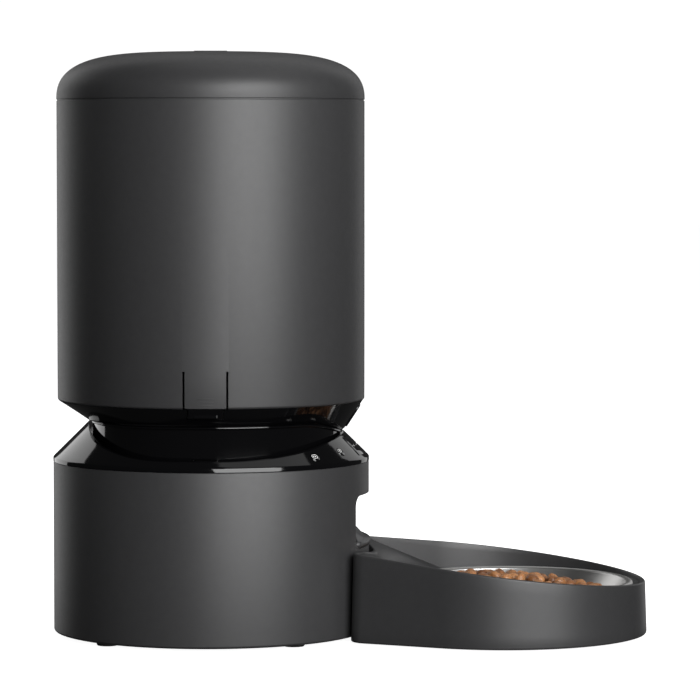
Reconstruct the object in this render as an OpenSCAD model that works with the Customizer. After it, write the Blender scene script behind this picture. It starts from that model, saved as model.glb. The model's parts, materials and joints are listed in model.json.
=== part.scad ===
// Automatic pet feeder: a round food hopper with a locking lid stands on a motor base, and drops
// portions through a front outlet into a steel bowl held in a sloped tray.
// Millimetres. +Z is up, +X is the front, where the tray is. The origin is on the floor at the
// centre of the whole footprint, and the round body stands on its own axis behind it.

/* [Round body] */
// Radius of the motor base
base_r = 96.8; // [96:0.1:97.5]
// Height of the matte base shell's top edge
base_top = 107; // [106.8:0.1:107.2]
// Radius of the hopper shell
hopper_r = 94.1; // [93.9:0.1:94.3]
// Height of the hopper shell's top edge
hopper_top = 327.2; // [322:0.1:332]
// Height of the lid above the hopper
lid_h = 29; // [28:0.1:31]
// Wall thickness of the moulded shells
wall = 2.5; // [2.4:0.1:2.6]

/* [Tray and bowl] */
// Radius of the tray's round front
tray_r = 90.5; // [90:0.1:91]
// Distance from the body's axis to the centre of the tray's round front
tray_x = 177.3; // [177:0.1:178]
// Half the angle at which the tray's sides close in towards the body
tray_side_angle = 25.2; // [25:0.1:25.4]
// Outer radius of the bowl's rolled rim
bowl_r = 74.5; // [74:0.1:75]
// Height of the bowl's rim
bowl_rim_z = 33.3; // [33:0.1:34]

/* [Mechanism] */
// Gear module
gear_m = 1; // [1:0.1:1]
// Teeth on the output gear
teeth_out = 50; // [50:1:50]
// Travel of a front key
key_travel = 0.5; // [0.3:0.1:0.5]

/* [Hidden] */
$fn = 128;
eps = 0.01;

// The body's axis, so that the footprint is centred on the origin
tray_front = tray_x + tray_r;
axis_x = -(tray_front - base_r) / 2;

matte = "#3a3a3c";
gloss = "#0c0c0d";
inner = "#5b5d60";
rubber = "#18181a";
steel = "#b9bbbd";
white = "#e8e6e0";

base_z = 2.3;            // underside of the base shell
seam_gap = 0.7;          // groove between the lid and the hopper
hopper_bottom = 144.3;

// Collar: a cone from a short upright band up to the lip around the neck
cone_r = base_r + 0.1;
cone_z = 109.7;
cone_slope = 0.988;      // rise for each millimetre inwards
cone_angle = atan(cone_slope);

// Collar's lip: an ellipse in plan, squarer at the back. The hopper's neck stands inside it.
neck_x = 3.5;
neck_a = 77.8;
lip_b = 92.3;
neck_b = 85;
neck_back_power = 2.45;
neck_gap = 0.6;          // between the neck and the lip, at the front and back
neck_bottom = 110;
waist_z = 132.4;         // lower edge of the hopper's glossy taper
waist_dip = 7.4;         // how far that edge drops at the front
waist_dip_angle = 50;

// Rotor chamber
chamber_r = 65.2;
floor_z = 110;
floor_t = 2.5;

// Latches
latch_w = 24.5;
latch_slot = 1.3;
latch_top = 166;
tab_w = 20.6;
tab_z = 138.3;

// Outlet
outlet_half = 38.5;
outlet_low = 55.5;
outlet_high = 87.8;
outlet_corner = 6.5;

// Gears: each entry is the centre of a shaft
teeth_third = 14;
teeth_second = 44;
teeth_first = 42;
teeth_motor = 12;
out_c = [0, 0];
second_dir = 200;
first_dir = 100;
motor_dir = 20;
function polar(r, a) = r * [cos(a), sin(a)];
second_c = out_c + polar(gear_m * (teeth_out + teeth_third) / 2, second_dir);
first_c = second_c + polar(gear_m * (teeth_second + teeth_third) / 2, first_dir);
motor_c = first_c + polar(gear_m * (teeth_first + teeth_motor) / 2, motor_dir);
out_z = 88;
second_z = 80;
first_z = 72.5;
gear_t = 5;

// Keys on the collar: angles from the front
key_angles = [-46, -29.3, 29.3, 46];
key_r = 3;
key_cap = 1;
key_offset = 0.8;        // outwards from the middle of the collar's slope

// Lid lock
bolt_z = 316.8;
bolt_t = 3.8;
bolt_w = 12;
bolt_throw = 2.4;
cam_z = 321.4;
cam_pin_r = 16.4;
knob_turn = 90;

// Battery bay
bay_x0 = -40;
bay_x1 = 24;
bay_y = 54;
bay_z = 43;

feet_at = [[-60.5, -57], [-60.5, 57], [51.5, -61], [51.5, 61]];
screw_at = [for (a = [40, 150, 210, 320]) polar(82, a)];

// ---------- helpers ----------
function arc(c, r, a0, a1, n) = [for (i = [0:n]) c + polar(r, a0 + (a1 - a0) * i / n)];
function sgn(v) = v < 0 ? -1 : 1;
function superarc(a, b, p, t) = [a * sgn(cos(t)) * pow(abs(cos(t)), 2 / p), b * sgn(sin(t)) * pow(abs(sin(t)), 2 / p)];

// An outline round the neck with a half width of b at the sides
function outline_point(t, b, d) = [neck_x, 0] + superarc(neck_a + d, b + d, cos(t) < 0 ? neck_back_power : 2, t);
function outline(b, d = 0, n = 96) = [for (i = [0:n - 1]) outline_point(360 * i / n, b, d)];
// Distance from the body's axis to the front half of the lip, in direction a
function lip_radius(a) = let(
    k = pow(cos(a) / neck_a, 2) + pow(sin(a) / lip_b, 2), h = neck_x * cos(a) / pow(neck_a, 2),
    c = pow(neck_x / neck_a, 2) - 1) (h + sqrt(h * h - k * c)) / k;
function cone_height(r) = cone_z + (cone_r - r) * cone_slope;
// Height of the taper's lower edge at a point of the neck
function waist_low(p) = let(a = abs(atan2(p[1], p[0])))
    waist_z - (a < waist_dip_angle ? waist_dip * (1 + cos(180 * a / waist_dip_angle)) / 2 : 0);

module on_axis() { translate([axis_x, 0, 0]) children(); }
module tube(ro, ri, h) { difference() { cylinder(r = ro, h = h); translate([0, 0, -1]) cylinder(r = ri, h = h + 2); } }
module each_side() { for (s = [-1, 1]) scale([1, s, 1]) children(); }
// A closed body between rings of points, each ring a list of the same length
module rings(list) {
    n = len(list[0]);
    m = len(list);
    points = [for (ring = list) each ring];
    faces = [for (j = [0:m - 1], i = [0:n - 1])
        let(a = j * n + i, b = j * n + (i + 1) % n, c = ((j + 1) % m) * n + (i + 1) % n, d = ((j + 1) % m) * n + i)
        each [[a, b, c], [a, c, d]]];
    polyhedron(points, faces, convexity = 6);
}
function lift(ring, z) = [for (p = ring) [p[0], p[1], z]];

// Involute gear tooth flank, four points a side
function inv_angle(rb, r) = let(t = sqrt(max(0, r * r / (rb * rb) - 1))) t * 180 / PI - atan(t);
pressure_angle = 20;
addendum = 0.85;
dedendum = 1.2;
backlash = 0.16;
root_relief = 0.12;
module gear(teeth, phase, h, bore = 0) {
    rp = gear_m * teeth / 2;
    rb = rp * cos(pressure_angle);
    ra = rp + addendum * gear_m;
    rf = rp - dedendum * gear_m;
    r0 = max(rb, rf);
    half = 90 / teeth - backlash / 2 / rp * 180 / PI + inv_angle(rb, rp);
    root = half - root_relief / rf * 180 / PI;
    radii = [for (k = [0:3]) r0 + (ra - r0) * k / 3];
    profile = [for (i = [0:teeth - 1]) let(c = phase + 360 * i / teeth)
        each concat(
            [polar(rf, c - root)],
            [for (r = radii) polar(r, c - half + inv_angle(rb, r))],
            [for (k = [3:-1:0]) polar(radii[k], c + half - inv_angle(rb, radii[k]))],
            [polar(rf, c + root)])];
    linear_extrude(h) difference() {
        polygon(profile);
        if (bore > 0) circle(bore);
    }
}
// Phase of a driven gear so that it meshes with its neighbour in direction a
function mesh_phase(a, za, pa, zb) = a + 180 - (0.5 - (a - pa) * za / 360) * 360 / zb;
out_phase = 0;
second_phase = 0;
first_phase = 0;
second_pinion_phase = mesh_phase(second_dir, teeth_out, out_phase, teeth_third);
first_pinion_phase = mesh_phase(first_dir, teeth_second, second_phase, teeth_third);
motor_phase = mesh_phase(motor_dir, teeth_first, first_phase, teeth_motor);

// ---------- base ----------
module outlet_outline() {
    r = outlet_corner;
    w = outlet_half - r;
    for (y = [-w, w], z = [outlet_low + r, outlet_high - r]) translate([y, z]) circle(r);
    translate([-outlet_half, outlet_low + r]) square([2 * outlet_half, outlet_high - outlet_low - 2 * r]);
    translate([-w, outlet_low]) square([2 * w, outlet_high - outlet_low]);
}
module along_x(x0, x1) { translate([x0, 0, 0]) rotate([90, 0, 90]) linear_extrude(x1 - x0) children(); }

hook_w = 11;
hook_y = 30;
hook_z = 22;
hook_t = 3;

module base_shell() {
    profile = concat(
        [[base_r - wall, base_z]],
        arc([base_r - 1.6, base_z + 1.6], 1.6, -90, 0, 6),
        [[base_r, base_top - 0.5], [base_r - 0.5, base_top], [base_r - wall, base_top]]);
    color(matte) difference() {
        rotate_extrude() polygon(profile);
        along_x(70, base_r + 2) outlet_outline();
        translate([-base_r - 2, -5.6, 14.4]) cube([10, 11.2, 5.6]);
        each_side() translate([80, hook_y - hook_w / 2 - 0.5, hook_z - 0.4]) cube([20, hook_w + 1, hook_t + 0.8]);
    }
}
hinge_x = bay_x1 + 1.2;
hinge_z = 5.6;
hinge_ys = [-37, 37];
module base_bottom() {
    plate_z = base_z + 0.2;
    color(inner) difference() {
        union() {
            translate([0, 0, plate_z]) cylinder(r = base_r - wall - 0.1, h = 2.4);
            for (p = screw_at) translate([p[0], p[1], 4]) cylinder(r = 4.6, h = 5);
        }
        translate([bay_x0, -bay_y, 0]) cube([bay_x1 + 5 - bay_x0, 2 * bay_y, 12]);
        for (p = screw_at) translate([p[0], p[1], 0]) { cylinder(r = 1.2, h = 12); cylinder(r = 3.4, h = 5); }
        for (p = feet_at) translate([p[0], p[1], 0]) cylinder(r = 6.7, h = 3.3);
        for (a = [0:60:300]) translate([speaker_x, 0, 0]) rotate([0, 0, a]) translate([8, 0, 0]) cylinder(r = 1.5, h = 12);
    }
    // two lugs that hold each hinge pin of the battery cover
    color(inner) for (y = hinge_ys, s = [-1, 1]) difference() {
        translate([hinge_x - 2.4, y + s * 7 - 1.5, 3.4]) cube([7.6, 3, 5.4]);
        translate([hinge_x, y + s * 7 - 3, hinge_z]) rotate([-90, 0, 0]) cylinder(r = 1, h = 6);
    }
}
module feet() {
    color(rubber) for (p = feet_at) translate([p[0], p[1], 0]) rotate_extrude()
        polygon([[0, 0], [6, 0], [6.6, 0.7], [6.6, 3.2], [0, 3.2]]);
}
deck_z = 104.6;
module top_deck() {
    color(inner) difference() {
        union() {
            translate([0, 0, deck_z]) cylinder(r = base_r - wall - 0.1, h = base_top - deck_z);
            translate([0, 0, 101]) cylinder(r = 12, h = 5);
            translate([27, -20, deck_z]) cube([38, 40, 4.6]);
        }
        translate([0, 0, 95]) cylinder(r = 6.06, h = 20);
        translate([29, -18, 95]) cube([34, 36, 20]);
    }
}
// Screw posts down to the bottom plate, and studs that hold the gearbox down
post_z = 9;
module deck_posts() {
    color(inner) difference() {
        union() {
            for (p = screw_at) translate([p[0], p[1], post_z]) cylinder(r = 4.2, h = deck_z - post_z);
            for (p = [first_c, second_c]) translate([p[0], p[1], case_top + 2]) cylinder(r = 4, h = deck_z - case_top - 2);
        }
        for (p = screw_at) translate([p[0], p[1], post_z - 1]) cylinder(r = 1.2, h = 12);
    }
}
module key_axis(a) {
    r = (lip_radius(a) + cone_r) / 2 + key_offset;
    rotate([0, 0, a]) translate([r, 0, cone_height(r)]) rotate([0, cone_angle, 0]) children();
}
module collar_body(drop) {
    profile = [
        [0, cone_z - drop - 30], [cone_r - drop, cone_z - drop - 30],
        [cone_r - drop, cone_z - drop * (drop > 0 ? 0.42 : 0)],
        [60, cone_height(60) - drop / cos(cone_angle)], [0, cone_height(60) - drop / cos(cone_angle)]];
    rotate_extrude() polygon(profile);
}
lens_angle = 34;
lens_in = 84;
lens_out = 94.6;
lens_t = 0.8;
module cone_band(r0, r1, low, high, a) {
    function on_cone(r, h) = [r + h * sin(cone_angle), cone_height(r) + h * cos(cone_angle)];
    rotate([0, 0, -a / 2]) rotate_extrude(angle = a)
        polygon([on_cone(r0, low), on_cone(r1, low), on_cone(r1, high), on_cone(r0, high)]);
}
module control_collar() {
    color(gloss) difference() {
        union() {
            difference() {
                collar_body(0);
                collar_body(2.4);
            }
            intersection() {
                collar_body(0);
                linear_extrude(200) polygon(outline(lip_b, 1.2));
            }
        }
        cylinder(r = base_r + 5, h = base_top + 0.1);
        linear_extrude(200) polygon(outline(lip_b));
        cone_band(lens_in - 0.15, lens_out + 0.15, -lens_t - 0.05, 3, lens_angle + 0.3);
        for (a = key_angles) key_axis(a) translate([0, 0, -3]) cylinder(r = key_r + 0.15, h = 6);
    }
}
// Thin strip behind the collar with a switch dome under each key
module key_strip() {
    color("#2b2b2e") {
        cone_band(92.2, 94.4, -3.3, -2.5, 98);
        for (a = key_angles) key_axis(a) translate([0, 0, -2.9]) cylinder(r = 2, h = 3 - key_cap - 0.15 - key_travel);
    }
}
module display_lens() { color("#050506") cone_band(lens_in, lens_out, -lens_t, 0.05, lens_angle); }
module key(a) { color(gloss) key_axis(a) translate([0, 0, -key_cap + 0.1]) cylinder(r = key_r, h = key_cap); }

// The outlet: a sloping duct from the deck into a wide recess behind the opening
module duct(grow) {
    g = grow;
    side = [[29 - 1.7 * g, 106], [63 + g, 106], [63 + g, 100], [74 + g, outlet_high + g],
        [101, outlet_high + g], [101, 59.4 - g], [94 - 0.4 * g, 59.4 - g]];
    plan = [[15, -18 - g], [60, -18 - g], [76, -outlet_half - g], [102, -outlet_half - g],
        [102, outlet_half + g], [76, outlet_half + g], [60, 18 + g], [15, 18 + g]];
    intersection() {
        rotate([90, 0, 0]) translate([0, 0, -60]) linear_extrude(120) polygon(side);
        translate([0, 0, 20]) linear_extrude(100) polygon(plan);
    }
}
ir_at = [79.5, 74];
module outlet_chute() {
    lip_low = outlet_low + 0.5;
    lip_half = outlet_half - 4.8;
    color(gloss) difference() {
        union() {
            intersection() {
                duct(2.2);
                cylinder(r = base_r - wall - 0.1, h = 104.5);
            }
            intersection() {
                translate([0, 0, lip_low]) tube(base_r + 0.6, base_r - 4.5, 3.6);
                translate([80, -lip_half, lip_low]) cube([20, 2 * lip_half, 3.6]);
            }
        }
        duct(0);
        each_side() translate([ir_at[0], outlet_half - 1, ir_at[1]]) rotate([-90, 0, 0]) cylinder(r = 2.6, h = 5);
    }
}
module ir_windows() {
    color("#1a0508") each_side() translate([ir_at[0], outlet_half + 0.1, ir_at[1]]) rotate([-90, 0, 0]) {
        cylinder(r = 2.6, h = 3);
        translate([0, 0, 2.3]) cylinder(r = 3.4, h = 2);
    }
}

// ---------- gearbox ----------
case_z = 69;
case_top = 98;
module gearbox_outline(grow) {
    translate(out_c) circle(27.2 + grow);
    translate(second_c) circle(23.4 + grow);
    translate(first_c) circle(22.6 + grow);
    translate(motor_c) circle(8 + grow);
}
module gearbox_case() {
    color(white) difference() {
        translate([0, 0, case_z]) linear_extrude(case_top - case_z) gearbox_outline(2);
        translate([0, 0, case_z + 2]) linear_extrude(40) gearbox_outline(0);
        translate([motor_c[0], motor_c[1], case_z - 1]) cylinder(r = 3, h = 5);
        for (p = [first_c, second_c]) translate([p[0], p[1], case_z - 1]) cylinder(r = 1.5, h = 5);
        translate([0, 0, case_z - 1]) cylinder(r = 3.05, h = 5);
    }
}
module gearbox_cover() {
    color(white) difference() {
        translate([0, 0, case_top]) linear_extrude(2) gearbox_outline(2);
        translate([0, 0, case_top - 1]) cylinder(r = 6.05, h = 5);
        for (p = [first_c, second_c]) translate([p[0], p[1], case_top - 1]) cylinder(r = 1.5, h = 5);
    }
}
module gear_pins() {
    color(steel) for (p = [first_c, second_c]) translate([p[0], p[1], case_z]) cylinder(r = 1.5, h = case_top + 2 - case_z);
}
module motor() {
    color(steel) difference() {
        translate([motor_c[0], motor_c[1], 46]) union() {
            cylinder(r = 10, h = 23);
            translate([-7, 7, 0]) cube([14, 5, 4]);
        }
        translate([motor_c[0], motor_c[1], 60]) cylinder(r = 1.05, h = 20);
    }
}
module motor_pinion() {
    color("#c8a24a") translate([motor_c[0], motor_c[1], 0]) {
        translate([0, 0, first_z - 0.8]) gear(teeth_motor, motor_phase, gear_t + 1.6);
        translate([0, 0, 61]) cylinder(r = 1, h = first_z - 61);
    }
}
module compound_gear(c, teeth, phase, z, pinion_phase, pinion_h) {
    bore = 1.55;
    color(white) translate([c[0], c[1], 0]) {
        translate([0, 0, z]) gear(teeth, phase, gear_t, bore);
        translate([0, 0, z + gear_t]) gear(teeth_third, pinion_phase, pinion_h, bore);
        translate([0, 0, case_z + 2.2]) tube(3, bore, z - case_z - 2.2);
        translate([0, 0, z + gear_t + pinion_h]) tube(3, bore, case_top - 0.2 - z - gear_t - pinion_h);
    }
}
module first_gear() { compound_gear(first_c, teeth_first, first_phase, first_z, first_pinion_phase, 7.4); }
module second_gear() { compound_gear(second_c, teeth_second, second_phase, second_z, second_pinion_phase, 9.4); }
dog_r = 5.8;
module output_gear() {
    color(white) {
        translate([0, 0, out_z]) gear(teeth_out, out_phase, 6);
        translate([0, 0, case_z]) cylinder(r = 3, h = out_z - case_z);
        translate([0, 0, out_z + 6]) cylinder(r = 6, h = 13);
        translate([0, 0, out_z + 19]) cylinder(r = dog_r, h = 12, $fn = 6);
    }
}

// ---------- electrics ----------
module main_board() {
    color("#1f5a35") translate([-87, -30, 48]) cube([1.6, 60, 46]);
    color("#202020") for (b = [[-20, 56, 14, 9], [6, 60, 16, 12], [-24, 76, 22, 8], [10, 80, 8, 8]])
        translate([-85.4, b[0], b[1]]) cube([3, b[2], b[3]]);
}
speaker_x = 60;
module speaker() {
    color("#303030") translate([speaker_x, 0, 4.9]) rotate_extrude()
        polygon([[0, 0], [16, 0], [16, 2], [13, 6], [8, 6], [8, 10], [0, 10]]);
}
module power_inlet() {
    color("#26262a") difference() {
        translate([-base_r + 0.6, -5.4, 14.6]) cube([11, 10.8, 5.2]);
        translate([-base_r, -3.4, 15.6]) cube([8, 6.8, 3.2]);
        translate([-base_r, -4.5, 16.2]) cube([8, 9, 2]);
    }
    color(steel) translate([-base_r + 2, -3, 16.9]) cube([7, 6, 0.6]);
}
module battery_box() {
    t = 1.6;
    color(inner) difference() {
        translate([bay_x0 - t, -bay_y - t, 4.9]) cube([bay_x1 - bay_x0 + 2 * t, 2 * bay_y + 2 * t, bay_z - 4.9]);
        translate([bay_x0, -bay_y, 0]) cube([bay_x1 - bay_x0, 2 * bay_y, bay_z - t]);
        translate([bay_x1 - 1, -bay_y, 0]) cube([8, 2 * bay_y, 9.4]);
    }
}
module battery_contacts() {
    color(steel) for (y = [-36, 0, 36]) {
        translate([bay_x0, y - 7, 16]) cube([0.5, 14, 14]);
        translate([bay_x1 - 0.5, y - 7, 16]) cube([0.5, 14, 14]);
        translate([bay_x0 + 0.5, y, 23]) rotate([0, 90, 0]) for (k = [0:2]) translate([0, 0, 1.3 * k]) tube(6 - k, 5 - k, 1.3);
    }
}
module battery_cover() {
    plate_z = base_z + 0.2;
    color(inner) {
        difference() {
            translate([bay_x0 + 0.4, -bay_y + 0.4, plate_z]) cube([bay_x1 - bay_x0 - 3.4, 2 * bay_y - 0.8, 2.2]);
            translate([bay_x0 + 6, -9, 0]) cube([3, 18, base_z + 1.2]);
        }
        translate([bay_x0 + 4, -8, plate_z + 2.2]) cube([1.6, 16, 5]);
    }
    color(inner) for (y = hinge_ys) difference() {
        union() {
            translate([bay_x1 - 8, y - 4, plate_z + 0.8]) cube([hinge_x - bay_x1 + 8, 8, 1.4]);
            translate([hinge_x, y - 4, hinge_z]) rotate([-90, 0, 0]) cylinder(r = 2.2, h = 8);
        }
        translate([hinge_x, y - 5, hinge_z]) rotate([-90, 0, 0]) cylinder(r = 1.05, h = 10);
    }
}
module cover_pins() {
    color(steel) for (y = hinge_ys) translate([hinge_x, y - 8.5, hinge_z]) rotate([-90, 0, 0]) cylinder(r = 1, h = 17);
}
module base_screws() {
    color(steel) for (p = screw_at) translate([p[0], p[1], 0]) {
        translate([0, 0, 5]) cylinder(r = 1.2, h = 13);
        difference() {
            translate([0, 0, 3]) cylinder(r = 3.2, h = 2);
            translate([0, 0, 2.5]) cylinder(r = 1.5, h = 1.5, $fn = 6);
        }
    }
}

// ---------- hopper ----------
module hopper_shell() {
    ri = hopper_r - wall;
    profile = concat(
        [[ri, hopper_bottom]],
        arc([hopper_r - 1.8, hopper_bottom + 1.8], 1.8, -90, 0, 6),
        [[hopper_r, hopper_top - 0.4], [hopper_r - 0.4, hopper_top], [ri, hopper_top]]);
    cut_w = latch_w + 2 * latch_slot;
    color(matte) difference() {
        rotate_extrude() polygon(profile);
        translate([-cut_w / 2, -100, hopper_bottom - 1]) cube([cut_w, 200, latch_top - hopper_bottom + 1]);
        for (x = [-1, 1]) translate([x * (cut_w - latch_slot) / 2, 100, latch_top]) rotate([90, 0, 0]) cylinder(r = 0.9, h = 200);
    }
}
module hopper_waist() {
    n = 96;
    t = 2;
    outer = outline(neck_b, -neck_gap, n);
    inside = outline(neck_b, -neck_gap - t, n);
    function around(r) = [for (p = outer) let(a = atan2(p[1], p[0])) [r * cos(a), r * sin(a), hopper_bottom]];
    low = [for (p = outer) [p[0], p[1], waist_low(p)]];
    in_low = [for (i = [0:n - 1]) [inside[i][0], inside[i][1], waist_low(outer[i]) + 0.9]];
    color(gloss) difference() {
        rings([lift(outer, neck_bottom), low, around(hopper_r - 0.9), around(hopper_r - 3.4), in_low, lift(inside, neck_bottom)]);
        each_side() {
            translate([-tab_w / 2 - 0.5, 78, tab_z - 0.4]) cube([tab_w + 1, 20, 20]);
            translate([-8, 78, 112]) cube([16, 20, 8]);
        }
        window_shape(0.15);
    }
}
module hopper_funnel() {
    ri = hopper_r - wall - 0.1;
    profile = [
        [chamber_r, floor_z], [chamber_r + 2, floor_z], [chamber_r + 2, 134], [ri, 196], [ri, 205],
        [ri - 1.5, 205], [ri - 1.5, 196.8], [chamber_r, 134.6]];
    color(inner) {
        rotate_extrude() polygon(profile);
        difference() {
            translate([0, 0, floor_z]) cylinder(r = chamber_r + 1, h = floor_t);
            translate([0, 0, floor_z - 1]) cylinder(r = 8.6, h = 5);
            translate([29, -16, floor_z - 1]) cube([31, 32, 5]);
        }
    }
}
module metering_cover() {
    cover_r = chamber_r - 0.05;
    color(inner) difference() {
        rotate([0, 0, -38]) rotate_extrude(angle = 76) polygon([[18, 129.2], [cover_r, 129.2], [cover_r, 131.4], [18, 131.4]]);
        for (a = [-24, 0, 24]) rotate([0, 0, a]) translate([40, 0, 125]) cylinder(r = 2, h = 10);
    }
}
// A smoked window in the front of the taper
module window_shape(grow) {
    low = [neck_x + neck_a - neck_gap, waist_z - waist_dip];
    high = [hopper_r - 0.9, hopper_bottom];
    lean = atan2(high[0] - low[0], high[1] - low[1]);
    w = 18 + 2 * grow;
    l = 15.6 + 2 * grow;
    r = 3;
    translate([(low[0] + high[0]) / 2 - 0.1, 0, (low[1] + high[1]) / 2]) rotate([0, 90 + lean, 0])
        translate([0, 0, -0.8 - grow]) linear_extrude(1.4 + 2 * grow) {
            square([l - 2 * r, w], center = true);
            square([l, w - 2 * r], center = true);
            for (x = [-1, 1], y = [-1, 1]) translate([x * (l / 2 - r), y * (w / 2 - r)]) circle(r);
        }
}
module level_window() { color("#050506") window_shape(0); }
module latch() {
    ri = hopper_r - wall;
    half = latch_w / 2;
    arm_y = 79.5;
    color(matte) intersection() {
        translate([0, 0, hopper_bottom + 0.4]) tube(hopper_r, ri, latch_top - hopper_bottom - 0.5);
        translate([-half, 80, 0]) cube([latch_w, 30, 300]);
    }
    color(gloss) {
        translate([-tab_w / 2, 0, 0]) rotate([90, 0, 90]) linear_extrude(tab_w)
            polygon([[88.4, tab_z], [90.2, tab_z], [90.9, tab_z + 0.7], [93.3, 144.7], [93.3, 148], [90.4, 148], [90.4, 143]]);
        translate([-7, arm_y, tab_z + 0.6]) cube([14, 12, 2.4]);
        translate([-7, arm_y, 113]) cube([14, 1.8, 28]);
        translate([-7, arm_y, 114]) cube([14, 4.8, 4]);
    }
}
module latch_left() { latch(); }
module latch_right() { scale([1, -1, 1]) latch(); }

module rotor_hub() {
    bottom = floor_z + floor_t + 0.3;
    color(white) difference() {
        union() {
            translate([0, 0, floor_z + 0.2]) cylinder(r = 8.54, h = 4);
            translate([0, 0, bottom]) cylinder(r = 14, h = 14.9);
            translate([0, 0, 127]) cylinder(r = 9, h = 8);
        }
        translate([0, 0, 100]) cylinder(r = dog_r + 0.2, h = 20, $fn = 6);
        translate([0, 0, 128]) cylinder(r = 3.05, h = 10);
    }
}
module rotor_fins() {
    color("#8d9092") difference() {
        union() {
            translate([0, 0, 113.4]) cylinder(r = 16.5, h = 13.6);
            for (i = [0:5]) rotate([0, 0, 30 + 60 * i]) translate([10, -1.3, 113.4]) cube([chamber_r - 10.9, 2.6, 13.6]);
        }
        translate([0, 0, 110]) cylinder(r = 14, h = 20);
    }
}
module agitator() {
    color(white) {
        translate([0, 0, 128]) cylinder(r = 3, h = 12);
        translate([0, 0, 138]) cylinder(r = 6, h = 5);
        for (a = [0, 180]) rotate([0, 0, 90 + a]) {
            translate([0, 0, 140.5]) rotate([0, 90, 0]) cylinder(r = 2.4, h = 36);
            translate([36, 0, 138]) cylinder(r = 2.6, h = 26);
            translate([36, 0, 164]) sphere(r = 2.6);
        }
    }
}

// ---------- lid ----------
lid_z = hopper_top + seam_gap;
lid_side_power = 4;
lid_crown_power = 2.5;
knob_r = 17;
cup_r = 19.6;
knob_top = lid_z + lid_h + 0.8;
screw_ring = 76;
// The lid's side profile, set in by d, from the seam up to the crown
function lid_arc(d, n = 36) = [for (i = [0:n]) let(t = 90 * i / n)
    [(hopper_r + 0.1 - d) * pow(max(0, cos(t)), 2 / lid_side_power), lid_z + (lid_h - d) * pow(sin(t), 2 / lid_crown_power)]];
module lid_shell() {
    cup_floor = lid_z + 17;
    color(matte) difference() {
        union() {
            difference() {
                rotate_extrude() polygon(concat(lid_arc(0), [[0, lid_z]]));
                translate([0, 0, -eps]) rotate_extrude() polygon(concat(lid_arc(2.4), [[0, lid_z]]));
            }
            translate([0, 0, cup_floor]) cylinder(r = cup_r, h = lid_h - 19);
            for (a = [45:90:315]) rotate([0, 0, a]) translate([screw_ring, 0, liner_top]) cylinder(r = 3.6, h = 19);
        }
        translate([0, 0, cup_floor + 2]) cylinder(r = knob_r + 0.4, h = 30);
        translate([0, 0, cup_floor - 1]) cylinder(r = 5.05, h = 10);
        for (a = [45:90:315]) rotate([0, 0, a]) translate([screw_ring, 0, liner_top - 1]) cylinder(r = 1.4, h = 12);
    }
}
liner_r = 88.6;
liner_z = 313.6;
liner_top = 329.6;
bag_x0 = -78;
bag_x1 = -27;
bag_y = 25;
door_hinge = [bag_x1 + 1.5, 311.9];
module lid_liner() {
    color(inner) difference() {
        union() {
            difference() {
                union() {
                    translate([0, 0, liner_z]) cylinder(r = liner_r, h = liner_top - liner_z);
                    translate([0, 0, lid_z + 0.2]) cylinder(r = hopper_r - 2.9, h = liner_top - lid_z - 0.2);
                }
                translate([0, 0, liner_z + 2]) cylinder(r = liner_r - 2, h = 20);
            }
            translate([bag_x0 - 1.6, -bag_y - 1.6, liner_z]) cube([bag_x1 - bag_x0 + 3.2, 2 * bag_y + 3.2, 15]);
            for (a = [45:90:315]) rotate([0, 0, a]) translate([screw_ring, 0, liner_z]) cylinder(r = 4, h = liner_top - liner_z);
            each_side() for (x = [-1, 1]) translate([x * (bolt_w / 2 + 1.1) - 0.75, 30, liner_z + 1]) cube([1.5, 50, 6]);
        }
        translate([bag_x0, -bag_y, liner_z - 1]) cube([bag_x1 - bag_x0, 2 * bag_y, 14.4]);
        each_side() translate([-bolt_w / 2 - 0.3, 80, bolt_z - 0.3]) cube([bolt_w + 0.6, 20, bolt_t + 0.6]);
        translate([0, 0, 322.3]) tube(liner_r + 1, liner_r - 1, 3.4);
        for (a = [45:90:315]) rotate([0, 0, a]) translate([screw_ring, 0, liner_z - 1]) {
            cylinder(r = 1.4, h = 20);
            cylinder(r = 2.9, h = 3);
        }
    }
    // lugs that hold the desiccant door's hinge rod
    color(inner) for (y = [-22.5, 22.5]) difference() {
        translate([door_hinge[0] - 1.8, y - 1.5, 310.1]) cube([3.6, 3, 3.6]);
        translate([door_hinge[0], y - 3, door_hinge[1]]) rotate([-90, 0, 0]) cylinder(r = 1.05, h = 6);
    }
}
module lid_seal() {
    r0 = liner_r - 1;
    color("#a8a8a6") rotate_extrude() polygon([
        [r0, 322.4], [liner_r + 0.4, 322.4], [91.2, 323.6], [91.2, 324], [liner_r + 0.4, 323.7],
        [liner_r + 0.4, 324.4], [91.2, 325.2], [91.2, 325.6], [liner_r + 0.4, 325.6], [r0, 325.6]]);
}
module lid_screws() {
    color(steel) for (a = [45:90:315]) rotate([0, 0, a]) translate([screw_ring, 0, 314]) {
        cylinder(r = 2.7, h = 1.6);
        cylinder(r = 1.4, h = 22);
    }
}
module desiccant_bag() {
    color(white) translate([(bag_x0 + bag_x1) / 2, 0, 320.6]) hull() for (z = [-1, 1], s = [0.86, 1])
        translate([0, 0, z * (s > 0.9 ? 1.5 : 4.4)]) linear_extrude(0.4, center = true) square([46 * s, 44 * s], center = true);
}
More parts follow.
